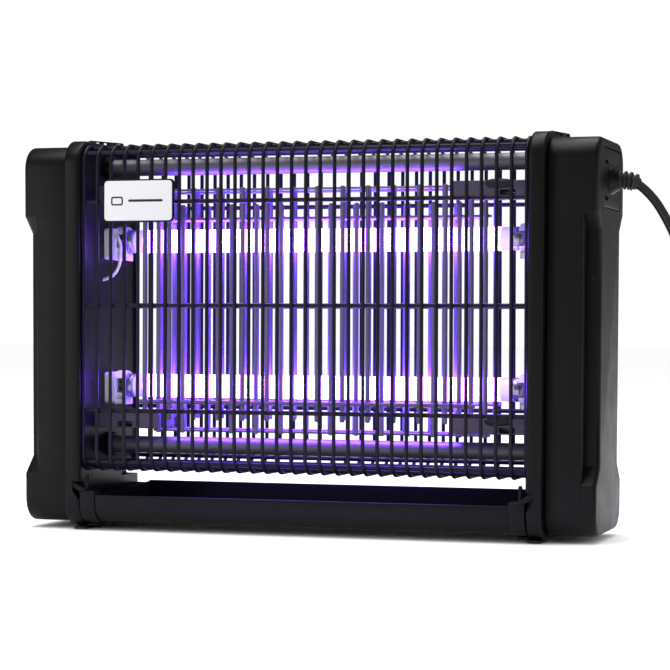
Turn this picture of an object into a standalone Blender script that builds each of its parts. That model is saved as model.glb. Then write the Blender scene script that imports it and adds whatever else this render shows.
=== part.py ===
"""Electric insect zapper: two lamps and a high-voltage rod grid inside a wire guard.

Frame: origin on the floor under the middle of the body, +X to the mains-lead side,
+Y to the back, +Z up.  Metres.
"""

import math

import bmesh
import bpy
from mathutils import Matrix, Vector

# ---------------------------------------------------------------- driving dimensions
GAP = 0.0003                  # clearance left between touching pieces

PLATE_X = 0.157               # inner face of each end frame
SEAM_X = 0.1675               # end frame meets end cover
OUTER_X = 0.1995              # outer face of each end cover

FRAME_DEPTH = 0.0537          # half depth of an end frame
FRAME_LOW = 0.0022
FRAME_TOP = 0.267
FRAME_RADIUS = 0.018
PLATE_THICK = 0.0025

COVER_DEPTH = 0.0454          # half depth of an end cover
COVER_LOW = 0.0045
COVER_TOP = 0.2635
COVER_RADIUS = 0.016
COVER_WALL = 0.0025
GRIP_X = 0.1905               # the grip channels are cut outside this plane
GRIP_DEPTH = 0.033            # half depth left between the two grip channels
GRIP_LOW = 0.050
GRIP_TOP = 0.203
GRIP_RAMP = 0.010             # height of the ramp at each end of a grip channel

PANEL_DEPTH = 0.032           # terminal panel in the right cover
PANEL_LOW = 0.2175
PANEL_TOP = 0.2575
CORD_Z = 0.2368               # height of the mains lead at the housing

WIRE_RADIUS = 0.0013
WIRE_COUNT = 32
WIRE_SPAN = 0.309             # first to last wire loop
GUARD_DEPTH = 0.0485          # half depth to the middle of a guard wire
GUARD_LOW = 0.0415
GUARD_TOP = 0.2629
GUARD_RADIUS = 0.012
GUARD_RAIL_RADIUS = 0.0015
GUARD_RAILS = (0.082, 0.1537, 0.2240)

LABEL_X = (-0.1385, -0.0872)
LABEL_Z = (0.2100, 0.2392)

TUBE_RADIUS = 0.0058
TUBE_BORE = 0.0047
TUBE_UPPER_Z = 0.2505
TUBE_LOWER_Z = 0.0567
SOCKET_LENGTH = 0.0045

LAMP_UPPER_Z = 0.1988
LAMP_LOWER_Z = 0.0980
LAMP_HALF = 0.144             # half length between cap faces, 8 W miniature tube
LAMP_RADIUS = 0.0079
CAP_RADIUS = 0.0081
CAP_LENGTH = 0.0082
PIN_LENGTH = 0.0050
PIN_RADIUS = 0.0012
PIN_SPACING = 0.0050

ROD_COUNT = 28
ROD_FIRST_X = -0.1221
ROD_LAST_X = 0.1192
ROD_RADIUS = 0.0017
HIGH_ROD_DEPTH = 0.0165       # rods of the live frame stand outside, and reach higher
HIGH_ROD_Z = (0.0750, 0.2350)
LOW_ROD_DEPTH = 0.0135        # rods of the return frame stand inside, and reach lower
LOW_ROD_Z = (0.0660, 0.2235)
END_WIRE_RADIUS = 0.0009
THICK_RAIL_RADIUS = 0.0014
THICK_RAIL_Z = 0.0875
THIN_RAIL_RADIUS = 0.0010
THIN_RAIL_Z = 0.2135
WELD_DEPTH = 0.0003           # how far a rail sinks into its rods
BRACKET_LEFT_X = -0.1106      # inner ends of the grid brackets
BRACKET_RIGHT_X = 0.0962
BRACKET_CORE = 0.0108         # half depth of a bracket's middle arm
BRACKET_SLOT = 0.0186         # the slots for the rods end here
BRACKET_DEPTH = 0.0204        # half depth over its cheeks
BRACKET_STEP = 0.0020         # the cheeks stop short of the end frame's plate by this
UPPER_BRACKET_Z = (0.2257, 0.2368)
LOWER_BRACKET_Z = (0.0688, 0.0798)

TRAY_HALF = 0.1440            # half length of the trough between its end caps
TRAY_FRONT = -0.0530
TRAY_BACK = 0.0480
TRAY_LOW = 0.0056
TRAY_LIP = 0.0245
TRAY_REAR = 0.0285
TRAY_WALL = 0.0018
TRAY_END_X = 0.1548
TRAY_END_TOP = 0.0270
TRAY_END_LOW = 0.0044

CORD_RADIUS = 0.0030
COIL_CENTRE = (0.325, 0.009)
COIL_RADIUS = 0.033           # middle of the turns
COIL_WIDTH = 0.018
COIL_HEIGHT = 0.012
PLUG_X = 0.3625
PLUG_Y = 0.0675
PLUG_Z = 0.0070

RIB_COUNT = 5
RIB_PITCH = 0.0034

# Middle of the strain relief, from inside the terminal panel to its tip.
RELIEF_ROUTE = (
    (0.1950, 0.000, 0.2368),
    (0.2030, 0.000, 0.2368),
    (0.2100, 0.000, 0.2366),
    (0.2150, 0.000, 0.2356),
    (0.2190, 0.000, 0.2335),
)

# Route of the mains lead from the strain relief to the coil.
CORD_ROUTE = (
    (0.2195, 0.0000, 0.2332),
    (0.2262, 0.0000, 0.2270),
    (0.2330, 0.0000, 0.2180),
    (0.2420, -0.0004, 0.2010),
    (0.2500, -0.0030, 0.1790),
    (0.2560, -0.0080, 0.1500),
    (0.2590, -0.0145, 0.1150),
    (0.2600, -0.0210, 0.0800),
    (0.2620, -0.0258, 0.0500),
    (0.2680, -0.0287, 0.0250),
    (0.2800, -0.0298, 0.0080),
    (0.2920, -0.0300, 0.00325),
    (0.3022, -0.0300, 0.00305),
)

PARTS = "bug_zapper"
CUTTERS = "cutters"


# ---------------------------------------------------------------- scene helpers
def clear_scene():
    for item in list(bpy.data.objects):
        bpy.data.objects.remove(item, do_unlink=True)


def collection(name):
    found = bpy.data.collections.get(name)
    if found is None:
        found = bpy.data.collections.new(name)
        bpy.context.scene.collection.children.link(found)
    return found


def finish_material(name, colour, roughness, metallic=0.0, alpha=1.0, glow=0.0):
    made = bpy.data.materials.get(name)
    if made is None:
        made = bpy.data.materials.new(name)
        made.use_nodes = True
        shader = made.node_tree.nodes["Principled BSDF"]
        shader.inputs["Base Color"].default_value = (*colour, 1.0)
        shader.inputs["Roughness"].default_value = roughness
        shader.inputs["Metallic"].default_value = metallic
        shader.inputs["Alpha"].default_value = alpha
        if glow > 0.0:
            shader.inputs["Emission Color"].default_value = (*colour, 1.0)
            shader.inputs["Emission Strength"].default_value = glow
    return made


def black_plastic():
    return finish_material("black_plastic", (0.020, 0.020, 0.021), 0.42)


def black_wire():
    return finish_material("black_wire", (0.012, 0.012, 0.014), 0.35)


def black_rubber():
    return finish_material("black_rubber", (0.010, 0.010, 0.010), 0.75)


def white_plastic():
    return finish_material("white_plastic", (0.78, 0.77, 0.80), 0.45)


def steel():
    return finish_material("steel", (0.55, 0.54, 0.60), 0.35, 0.9)


def aluminium():
    return finish_material("aluminium", (0.62, 0.61, 0.66), 0.32, 0.9)


def brass():
    return finish_material("brass", (0.72, 0.55, 0.27), 0.3, 1.0)


def lamp_glass():
    return finish_material("lamp_glass", (0.80, 0.74, 1.0), 0.2, 0.0, 1.0, 3.0)


def green_board():
    return finish_material("green_board", (0.03, 0.18, 0.07), 0.5)


def copper():
    return finish_material("copper", (0.60, 0.28, 0.15), 0.35, 0.9)


def add_object(name, mesh, material=None, group=PARTS):
    made = bpy.data.objects.new(name, mesh)
    collection(group).objects.link(made)
    if material is not None:
        mesh.materials.clear()
        mesh.materials.append(material)
    if group == CUTTERS:
        made.hide_render = True
        made.display_type = "WIRE"
    return made


def hang_on_axis(name, place, *items):
    """Parents the items to an empty on the axis that they move about."""
    axis = bpy.data.objects.new(name, None)
    collection(PARTS).objects.link(axis)
    axis.location = place
    bpy.context.view_layer.update()
    for item in items:
        item.parent = axis
        item.matrix_parent_inverse = axis.matrix_world.inverted()


def smooth(item, angle=35.0):
    item.data.shade_smooth()
    item.data.set_sharp_from_angle(angle=math.radians(angle))
    return item


# ---------------------------------------------------------------- solids
def block_mesh(name, low, high, radius=0.0, segments=4, axis=0):
    """A box between two corners, its edges along one axis rounded."""
    low = Vector(low)
    high = Vector(high)
    first = Vector([min(a, b) for a, b in zip(low, high)])
    last = Vector([max(a, b) for a, b in zip(low, high)])
    work = bmesh.new()
    bmesh.ops.create_cube(work, size=1.0)
    size = last - first
    bmesh.ops.scale(work, vec=size, verts=work.verts)
    bmesh.ops.translate(work, vec=(first + last) / 2, verts=work.verts)
    if radius > 0.0:
        chosen = []
        for edge in work.edges:
            along = edge.verts[1].co - edge.verts[0].co
            if abs(along[axis]) > 0.9 * along.length:
                chosen.append(edge)
        bmesh.ops.bevel(work, geom=chosen, offset=radius, segments=segments,
                        profile=0.5, affect="EDGES")
    mesh = bpy.data.meshes.new(name)
    work.to_mesh(mesh)
    work.free()
    return mesh


def block(name, low, high, material, radius=0.0, segments=4, axis=0):
    return add_object(name, block_mesh(name, low, high, radius, segments, axis), material)


def cylinder_mesh(name, start, end, radius, sides=16, end_radius=None):
    """A closed cylinder or cone between two points."""
    start = Vector(start)
    end = Vector(end)
    along = end - start
    turn = along.to_track_quat("Z", "Y").to_matrix().to_4x4()
    place = Matrix.Translation((start + end) / 2) @ turn
    work = bmesh.new()
    bmesh.ops.create_cone(work, cap_ends=True, segments=sides, radius1=radius,
                          radius2=radius if end_radius is None else end_radius,
                          depth=along.length, matrix=place)
    mesh = bpy.data.meshes.new(name)
    work.to_mesh(mesh)
    work.free()
    return mesh


def cylinder(name, start, end, radius, material, sides=16, end_radius=None):
    mesh = cylinder_mesh(name, start, end, radius, sides, end_radius)
    return smooth(add_object(name, mesh, material))


def prism_mesh(name, outline, low, high, axis):
    """A flat outline extruded along X or Y between two planes."""
    data = bpy.data.curves.new(name, "CURVE")
    data.dimensions = "2D"
    data.fill_mode = "BOTH"
    data.extrude = (high - low) / 2
    line = data.splines.new("POLY")
    line.points.add(len(outline) - 1)
    for point, (u, v) in zip(line.points, outline):
        point.co = (u, v, 0.0, 1.0)
    line.use_cyclic_u = True
    drawn = bpy.data.objects.new(name, data)
    collection(CUTTERS).objects.link(drawn)
    centre = (low + high) / 2
    if axis == 0:
        columns = (Vector((0, 1, 0)), Vector((0, 0, 1)), Vector((1, 0, 0)))
        place = Vector((centre, 0, 0))
    else:
        columns = (Vector((1, 0, 0)), Vector((0, 0, 1)), Vector((0, -1, 0)))
        place = Vector((0, centre, 0))
    turn = Matrix(columns).transposed().to_4x4()
    drawn.matrix_world = Matrix.Translation(place) @ turn
    return mesh_from_curve(drawn)


def mesh_from_curve(drawn):
    """The curve's evaluated mesh in world space, welded; the curve is removed."""
    bpy.context.view_layer.update()
    graph = bpy.context.evaluated_depsgraph_get()
    mesh = bpy.data.meshes.new_from_object(drawn.evaluated_get(graph))
    mesh.transform(drawn.matrix_world)
    work = bmesh.new()
    work.from_mesh(mesh)
    bmesh.ops.remove_doubles(work, verts=work.verts, dist=0.00001)
    bmesh.ops.recalc_face_normals(work, faces=work.faces)
    work.to_mesh(mesh)
    work.free()
    bpy.data.objects.remove(drawn, do_unlink=True)
    return mesh


def tube_curve(name, points, radius, resolution=2, closed=False):
    data = bpy.data.curves.new(name, "CURVE")
    data.dimensions = "3D"
    data.bevel_depth = radius
    data.bevel_resolution = resolution
    data.use_fill_caps = True
    line = data.splines.new("POLY")
    line.points.add(len(points) - 1)
    for point, place in zip(line.points, points):
        point.co = (*place, 1.0)
    line.use_cyclic_u = closed
    return data


def tube(name, points, radius, material, resolution=2, closed=False):
    data = tube_curve(name, points, radius, resolution, closed)
    made = bpy.data.objects.new(name, data)
    collection(PARTS).objects.link(made)
    data.materials.append(material)
    return made


def tube_mesh(name, points, radius, resolution=2, closed=False):
    drawn = bpy.data.objects.new(name, tube_curve(name, points, radius, resolution, closed))
    collection(CUTTERS).objects.link(drawn)
    return mesh_from_curve(drawn)


def turned(name, profile, centre, axis, material, steps=24):
    """A profile of (radius, height) pairs, top to bottom, turned about an axis."""
    mesh = bpy.data.meshes.new(name)
    count = len(profile)
    edges = [(i, (i + 1) % count) for i in range(count)]
    if profile[0][0] == 0.0:
        edges = edges[:-1]
    mesh.from_pydata([(r, 0.0, h) for r, h in profile], edges, [])
    made = add_object(name, mesh, material)
    turn = Vector(axis).to_track_quat("Z", "Y").to_matrix().to_4x4()
    made.matrix_world = Matrix.Translation(centre) @ turn
    spin = made.modifiers.new("turn", "SCREW")
    spin.axis = "Z"
    spin.angle = math.tau
    spin.steps = steps
    spin.render_steps = steps
    spin.use_merge_vertices = True
    spin.merge_threshold = 0.00005
    spin.use_smooth_shade = True
    return made


def joined_mesh(name, meshes):
    """Several meshes as one, not yet a union."""
    work = bmesh.new()
    for mesh in meshes:
        work.from_mesh(mesh)
    made = bpy.data.meshes.new(name)
    work.to_mesh(made)
    work.free()
    for mesh in meshes:
        bpy.data.meshes.remove(mesh)
    return made


def combine(item, mesh, operation):
    """A Boolean of an object with a mesh kept as a hidden cutter."""
    cutter = add_object(f"{item.name}_{operation.lower()}_{len(item.modifiers)}", mesh,
                        group=CUTTERS)
    step = item.modifiers.new(operation.lower(), "BOOLEAN")
    step.operation = operation
    step.solver = "EXACT"
    step.object = cutter
    return cutter


def cut(item, *meshes):
    for mesh in meshes:
        combine(item, mesh, "DIFFERENCE")


def weld(item, *meshes):
    for mesh in meshes:
        combine(item, mesh, "UNION")


# ---------------------------------------------------------------- end frames and covers
def end_frame(side, name):
    """Inner plate with its deep rim, tube sockets, tray ledge, hanging eye and cut-outs."""
    sign = 1.0 if side == "right" else -1.0
    frame = block(f"{side}_{name}", (sign * PLATE_X, -FRAME_DEPTH, FRAME_LOW),
                  (sign * SEAM_X, FRAME_DEPTH, FRAME_TOP), black_plastic(), FRAME_RADIUS, 5)
    eye = block_mesh("eye", (sign * 0.1628, -0.018, FRAME_TOP - 0.002),
                     (sign * 0.1652, 0.042, FRAME_TOP + 0.0030))
    ledge = block_mesh("ledge", (sign * 0.1490, -0.040, FRAME_LOW),
                       (sign * (PLATE_X + 0.001), 0.045, TRAY_END_LOW - GAP))
    sockets = []
    for height in (TUBE_UPPER_Z, TUBE_LOWER_Z):
        sockets.append(cylinder_mesh("socket", (sign * (PLATE_X + 0.001), 0.0, height),
                                     (sign * (PLATE_X - SOCKET_LENGTH), 0.0, height),
                                     TUBE_RADIUS + 0.0022, 20))
    weld(frame, eye, ledge, *sockets)
    pocket = block_mesh("pocket", (sign * (PLATE_X + PLATE_THICK), -0.0425, 0.0080),
                        (sign * (SEAM_X + 0.002), 0.0425, 0.2600), 0.012, 4)
    windows = []
    for start in (-0.0085, 0.0050, 0.0290):
        windows.append(block_mesh("window", (sign * 0.160, start, FRAME_TOP + 0.0002),
                                  (sign * 0.168, start + 0.0105, FRAME_TOP + 0.0021)))
    bores = []
    for height in (TUBE_UPPER_Z, TUBE_LOWER_Z):
        bores.append(cylinder_mesh("socket_bore", (sign * (PLATE_X - GAP), 0.0, height),
                                   (sign * (PLATE_X - 0.010), 0.0, height),
                                   TUBE_RADIUS + GAP, 20))
        bores.append(cylinder_mesh("passage", (sign * (PLATE_X - 0.002), 0.0, height),
                                   (sign * (PLATE_X + 0.005), 0.0, height), 0.0035, 12))
    for height in (LAMP_UPPER_Z, LAMP_LOWER_Z):
        bores.append(block_mesh("lead_slot", (sign * (PLATE_X - 0.001), -0.0035, height - 0.0035),
                                (sign * (PLATE_X + 0.004), 0.0035, height + 0.0035)))
    latch = prism_mesh("latch_notch",
                       [(sign * 0.1560, 0.0180), (sign * 0.1560, 0.0335),
                        (sign * 0.1622, 0.0335), (sign * 0.1622, 0.0270)],
                       -FRAME_DEPTH - 0.002, -0.0460, 1)
    rear = block_mesh("rear_slot", (sign * (PLATE_X - 0.002), 0.0220, 0.0330),
                      (sign * (SEAM_X - 0.0012), FRAME_DEPTH + 0.002, 0.0408))
    cut(frame, pocket, joined_mesh("windows", windows), *bores, latch, rear)
    return frame


def end_cover(side):
    """Outer shell with a grip channel down its front and back corners."""
    sign = 1.0 if side == "right" else -1.0
    cover = block(f"{side}_end_cover", (sign * (SEAM_X + GAP), -COVER_DEPTH, COVER_LOW),
                  (sign * OUTER_X, COVER_DEPTH, COVER_TOP), black_plastic(), COVER_RADIUS, 5)
    wide = block_mesh("cavity_wide", (sign * (SEAM_X - 0.002), -COVER_DEPTH + COVER_WALL,
                                      COVER_LOW + COVER_WALL),
                      (sign * (GRIP_X - COVER_WALL), COVER_DEPTH - COVER_WALL,
                       COVER_TOP - COVER_WALL), 0.0135, 4)
    deep = block_mesh("cavity_deep", (sign * (GRIP_X - 0.006), -GRIP_DEPTH + COVER_WALL,
                                      COVER_LOW + COVER_WALL + 0.002),
                      (sign * (OUTER_X - COVER_WALL), GRIP_DEPTH - COVER_WALL,
                       COVER_TOP - COVER_WALL - 0.002))
    channels = []
    for face in (-1.0, 1.0):
        outline = [(face * (COVER_DEPTH + 0.002), GRIP_LOW - GRIP_RAMP * 1.17),
                   (face * GRIP_DEPTH, GRIP_LOW),
                   (face * GRIP_DEPTH, GRIP_TOP),
                   (face * (COVER_DEPTH + 0.002), GRIP_TOP + GRIP_RAMP * 1.17)]
        low = min(sign * GRIP_X, sign * (OUTER_X + 0.002))
        high = max(sign * GRIP_X, sign * (OUTER_X + 0.002))
        channels.append(prism_mesh("grip_channel", outline, low, high, 0))
    cut(cover, wide, deep, *channels)
    return cover


def terminal_cover():
    """Panel over the mains terminals, with the strain relief's hole."""
    panel = block("terminal_cover", (OUTER_X - COVER_WALL, -PANEL_DEPTH + GAP, PANEL_LOW + GAP),
                  (OUTER_X, PANEL_DEPTH - GAP, PANEL_TOP - GAP), black_plastic())
    hole = cylinder_mesh("cord_hole", (OUTER_X - 0.006, 0.0, CORD_Z), (OUTER_X + 0.004, 0.0, CORD_Z),
                         0.0072, 20)
    slots = []
    for height in (0.2255, 0.2480):
        slots.append(block_mesh("clip_slot", (OUTER_X - 0.0010, -0.0210, height - 0.0010),
                                (OUTER_X + 0.001, -0.0060, height + 0.0010)))
    cut(panel, hole, joined_mesh("clip_slots", slots))
    return panel


def housings():
    for side in ("left", "right"):
        end_frame(side, "end_frame")
        cover = end_cover(side)
        if side == "right":
            cut(cover, block_mesh("panel_opening", (OUTER_X - 0.006, -PANEL_DEPTH, PANEL_LOW),
                                  (OUTER_X + 0.003, PANEL_DEPTH, PANEL_TOP)))
    terminal_cover()


def feet():
    for side, sign in (("left", -1.0), ("right", 1.0)):
        for place, y in (("front", -0.0345), ("rear", 0.0265)):
            block(f"{place}_{side}_foot", (sign * 0.1565, y - 0.010, 0.0),
                  (sign * 0.1660, y + 0.018, FRAME_LOW - GAP), black_rubber(), 0.002, 2, 2)


# ---------------------------------------------------------------- wire guard and label
def loop_points(x):
    """One guard wire: a rounded rectangle in the plane X = x."""
    points = []
    corners = ((-1, 1, math.pi), (1, 1, math.pi / 2), (1, -1, 0.0), (-1, -1, -math.pi / 2))
    for y_sign, z_sign, start in corners:
        y = y_sign * (GUARD_DEPTH - GUARD_RADIUS)
        z = (GUARD_TOP - GUARD_RADIUS) if z_sign > 0 else (GUARD_LOW + GUARD_RADIUS)
        for step in range(3):
            angle = start - step * math.pi / 4
            points.append((x, y + GUARD_RADIUS * math.cos(angle),
                           z + GUARD_RADIUS * math.sin(angle)))
    return points


def wire_guard():
    loops = []
    for number in range(WIRE_COUNT):
        x = -WIRE_SPAN / 2 + WIRE_SPAN * number / (WIRE_COUNT - 1)
        loops.append(tube_mesh("loop", loop_points(x), WIRE_RADIUS, 0, True))
    guard = add_object("wire_guard", joined_mesh("loops", loops), black_wire())
    rails = []
    end = PLATE_X - GAP
    for face in (-1.0, 1.0):
        y = face * (GUARD_DEPTH - WIRE_RADIUS - GUARD_RAIL_RADIUS + 0.0008)
        for height in GUARD_RAILS:
            rails.append(cylinder_mesh("rail", (-end, y, height), (end, y, height),
                                       GUARD_RAIL_RADIUS, 4))
    weld(guard, joined_mesh("rails", rails))
    return guard


def label_plate():
    back = -GUARD_DEPTH - WIRE_RADIUS - GAP
    block("label_backing", (LABEL_X[0], back, LABEL_Z[0]), (LABEL_X[1], back - 0.0022, LABEL_Z[1]),
          black_plastic(), 0.003, 3, 1)
    face = back - 0.0022 - GAP
    margin = 0.0011
    block("label_plate", (LABEL_X[0] + margin, face, LABEL_Z[0] + margin),
          (LABEL_X[1] - margin, face - 0.0006, LABEL_Z[1] - margin), white_plastic(), 0.0024, 3, 1)


# ---------------------------------------------------------------- tubes and fixings
def tie_tubes():
    for place, height in (("upper", TUBE_UPPER_Z), ("lower", TUBE_LOWER_Z)):
        end = PLATE_X - 2 * GAP
        outer = cylinder(f"{place}_tie_tube", (-end, 0.0, height), (end, 0.0, height),
                         TUBE_RADIUS, aluminium(), 18)
        cut(outer, cylinder_mesh("bore", (-end - 0.002, 0.0, height), (end + 0.002, 0.0, height),
                                 TUBE_BORE, 12))
    cylinder("tie_rod", (-0.1655, 0.0, TUBE_LOWER_Z), (0.1655, 0.0, TUBE_LOWER_Z), 0.0020,
             steel(), 8)
    for side, sign in (("left", -1.0), ("right", 1.0)):
        inner = sign * (PLATE_X + PLATE_THICK + GAP)
        nut = cylinder(f"{side}_rod_nut", (inner, 0.0, TUBE_LOWER_Z),
                       (inner + sign * 0.0032, 0.0, TUBE_LOWER_Z), 0.0040, steel(), 6)
        cut(nut, cylinder_mesh("thread", (inner - sign * 0.001, 0.0, TUBE_LOWER_Z),
                               (inner + sign * 0.005, 0.0, TUBE_LOWER_Z), 0.0023, 8))


# ---------------------------------------------------------------- lamps and holders
def lampholder(name, sign, height):
    back = sign * (PLATE_X - GAP)
    front = sign * 0.1470
    body = block(name, (front, -0.0090, height - 0.0125), (back, 0.0090, height + 0.0092),
                 white_plastic(), 0.0025, 2)
    collar = cylinder_mesh("collar", (front + sign * 0.001, 0.0, height),
                           (sign * 0.1405, 0.0, height), 0.0102, 20)
    weld(body, collar)
    seat = cylinder_mesh("seat", (sign * 0.1395, 0.0, height), (front - sign * 0.0002, 0.0, height),
                         CAP_RADIUS + 0.0004, 20)
    recess = cylinder_mesh("pin_recess", (sign * 0.1460, 0.0, height), (sign * 0.1510, 0.0, height),
                           0.0046, 16)
    mouth = block_mesh("mouth", (sign * 0.1395, -0.0120, height - 0.0050),
                       (front - sign * 0.0002, 0.0, height + 0.0050))
    cut(body, seat, recess, mouth)
    return body


def lamp(place, height):
    """Glass tube with a metal cap and two contact pins at each end."""
    inner = LAMP_HALF - CAP_LENGTH
    glass = cylinder(f"{place}_lamp_tube", (-inner + GAP, 0.0, height), (inner - GAP, 0.0, height),
                     LAMP_RADIUS, lamp_glass(), 20)
    caps = []
    for side, sign in (("left", -1.0), ("right", 1.0)):
        cap = cylinder(f"{place}_lamp_{side}_cap", (sign * inner, 0.0, height),
                       (sign * LAMP_HALF, 0.0, height), CAP_RADIUS, aluminium(), 20)
        pins = []
        for z in (-PIN_SPACING / 2, PIN_SPACING / 2):
            pins.append(cylinder_mesh("pin", (sign * (LAMP_HALF - 0.001), 0.0, height + z),
                                      (sign * (LAMP_HALF + PIN_LENGTH), 0.0, height + z),
                                      PIN_RADIUS, 8))
        weld(cap, joined_mesh("pins", pins))
        caps.append(cap)
    hang_on_axis(f"{place}_lamp_axis", (0.0, 0.0, height), glass, *caps)


def lamps():
    for place, height in (("upper", LAMP_UPPER_Z), ("lower", LAMP_LOWER_Z)):
        for side, sign in (("left", -1.0), ("right", 1.0)):
            lampholder(f"{place}_{side}_lampholder", sign, height)
        lamp(place, height)


# ---------------------------------------------------------------- high-voltage grid
def rod_x(number):
    return ROD_FIRST_X + (ROD_LAST_X - ROD_FIRST_X) * number / (ROD_COUNT - 1)


def rod_frame(name, first, depth, ends, bars):
    """Every second rod of one side of the grid, welded to its cross bars.

    Each bar is its height, its depth and its radius.  A negative depth is the front.
    """
    rods = []
    for number in range(first, ROD_COUNT, 2):
        x = rod_x(number)
        rods.append(cylinder_mesh("rod", (x, depth, ends[0]), (x, depth, ends[1]), ROD_RADIUS, 6))
    frame = smooth(add_object(name, joined_mesh("rods", rods), steel()), 70.0)
    left = rod_x(first) - 0.004
    right = rod_x(ROD_COUNT - 2 + first) + 0.004
    crossing = []
    for height, bar_depth, radius in bars:
        crossing.append(cylinder_mesh("bar", (left, bar_depth, height), (right, bar_depth, height),
                                      radius, 6))
    weld(frame, joined_mesh("bars", crossing))
    return frame


def grid():
    """Two live and two return frames; the rear ones are the front ones turned about."""
    for place, face, live_first in (("front", -1.0, 0), ("rear", 1.0, 1)):
        outside = HIGH_ROD_DEPTH + ROD_RADIUS + THICK_RAIL_RADIUS - WELD_DEPTH
        inside = LOW_ROD_DEPTH - ROD_RADIUS - THIN_RAIL_RADIUS + WELD_DEPTH
        live_bars = ((HIGH_ROD_Z[1] - 2 * END_WIRE_RADIUS, face * HIGH_ROD_DEPTH, END_WIRE_RADIUS),
                     (THICK_RAIL_Z, face * outside, THICK_RAIL_RADIUS))
        return_bars = ((LOW_ROD_Z[0] + 2 * END_WIRE_RADIUS, face * LOW_ROD_DEPTH, END_WIRE_RADIUS),
                       (THIN_RAIL_Z, face * inside, THIN_RAIL_RADIUS))
        rod_frame(f"{place}_live_grid", live_first, face * HIGH_ROD_DEPTH, HIGH_ROD_Z, live_bars)
        rod_frame(f"{place}_return_grid", 1 - live_first, face * LOW_ROD_DEPTH, LOW_ROD_Z,
                  return_bars)


def grid_brackets():
    """Insulating arms that reach in from the end frames and hold the rods in their slots."""
    for side, sign, end in (("left", -1.0, BRACKET_LEFT_X), ("right", 1.0, BRACKET_RIGHT_X)):
        last_rod = rod_x(0) if side == "left" else rod_x(ROD_COUNT - 1)
        slot_end = last_rod + sign * (ROD_RADIUS + 0.0045)
        for place, (low, high) in (("upper", UPPER_BRACKET_Z), ("lower", LOWER_BRACKET_Z)):
            arm = block(f"{place}_{side}_grid_bracket", (sign * (PLATE_X - GAP), -BRACKET_CORE, low),
                        (end, BRACKET_CORE, high), white_plastic())
            cheeks = block_mesh("cheeks", (sign * (PLATE_X - BRACKET_STEP), -BRACKET_DEPTH,
                                           low + 0.0003),
                                (end + sign * 0.0003, BRACKET_DEPTH, high - 0.0003))
            weld(arm, cheeks)
            slots = []
            for face in (-1.0, 1.0):
                slots.append(block_mesh("rod_slot", (end - sign * 0.002, face * BRACKET_CORE,
                                                     low - 0.002),
                                        (slot_end, face * BRACKET_SLOT, high + 0.002)))
            window = block_mesh("window", (sign * 0.1300, -BRACKET_DEPTH - 0.002, low + 0.0010),
                                (sign * 0.1410, BRACKET_DEPTH + 0.002, low + 0.0048))
            cut(arm, joined_mesh("rod_slots", slots), window)


# ---------------------------------------------------------------- catch tray
def tray_outline(inset):
    """Side profile of the trough, front to back; inset moves it inside the wall."""
    front = TRAY_FRONT + inset
    back = TRAY_BACK - inset
    low = TRAY_LOW + inset
    rise = 0.004 if inset > 0.0 else 0.0
    radius = 0.008 - inset
    points = [(front, TRAY_LIP + rise)]
    for step in range(5):
        angle = math.pi + step * math.pi / 8
        points.append((front + radius + radius * math.cos(angle),
                       low + radius + radius * math.sin(angle)))
    for step in range(3):
        angle = 1.5 * math.pi + step * math.pi / 4
        points.append((back - radius / 2 + radius / 2 * math.cos(angle),
                       low + radius / 2 + radius / 2 * math.sin(angle)))
    points.append((back, TRAY_REAR + rise))
    return points


def tray():
    trough = add_object("catch_tray", prism_mesh("catch_tray", tray_outline(0.0), -TRAY_HALF,
                                                 TRAY_HALF, 0), black_plastic())
    cut(trough, prism_mesh("tray_hollow", tray_outline(TRAY_WALL), -TRAY_HALF + TRAY_WALL,
                           TRAY_HALF - TRAY_WALL, 0))
    smooth(trough)
    for side, sign in (("left", -1.0), ("right", 1.0)):
        cap = block(f"{side}_tray_end", (sign * (TRAY_HALF + GAP), TRAY_FRONT - 0.0008, TRAY_END_LOW),
                    (sign * TRAY_END_X, TRAY_BACK + 0.0008, TRAY_END_TOP), black_plastic(), 0.007, 4)
        tab = block_mesh("latch_tab", (sign * 0.1497, -0.0520, TRAY_END_TOP - 0.008),
                         (sign * 0.1523, -0.0440, 0.0376), 0.0012, 2)
        lever = prism_mesh("lever", [(sign * 0.1510, 0.0252), (sign * 0.1510, 0.0275),
                                     (sign * 0.1612, 0.0328), (sign * 0.1612, 0.0308)],
                           -0.0530, -0.0470, 1)
        weld(cap, tab, lever)
        cut(cap, block_mesh("thumb_dip", (sign * 0.1400, -0.0430, TRAY_END_TOP - 0.0040),
                            (sign * 0.1600, 0.0440, TRAY_END_TOP + 0.003)))


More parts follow.
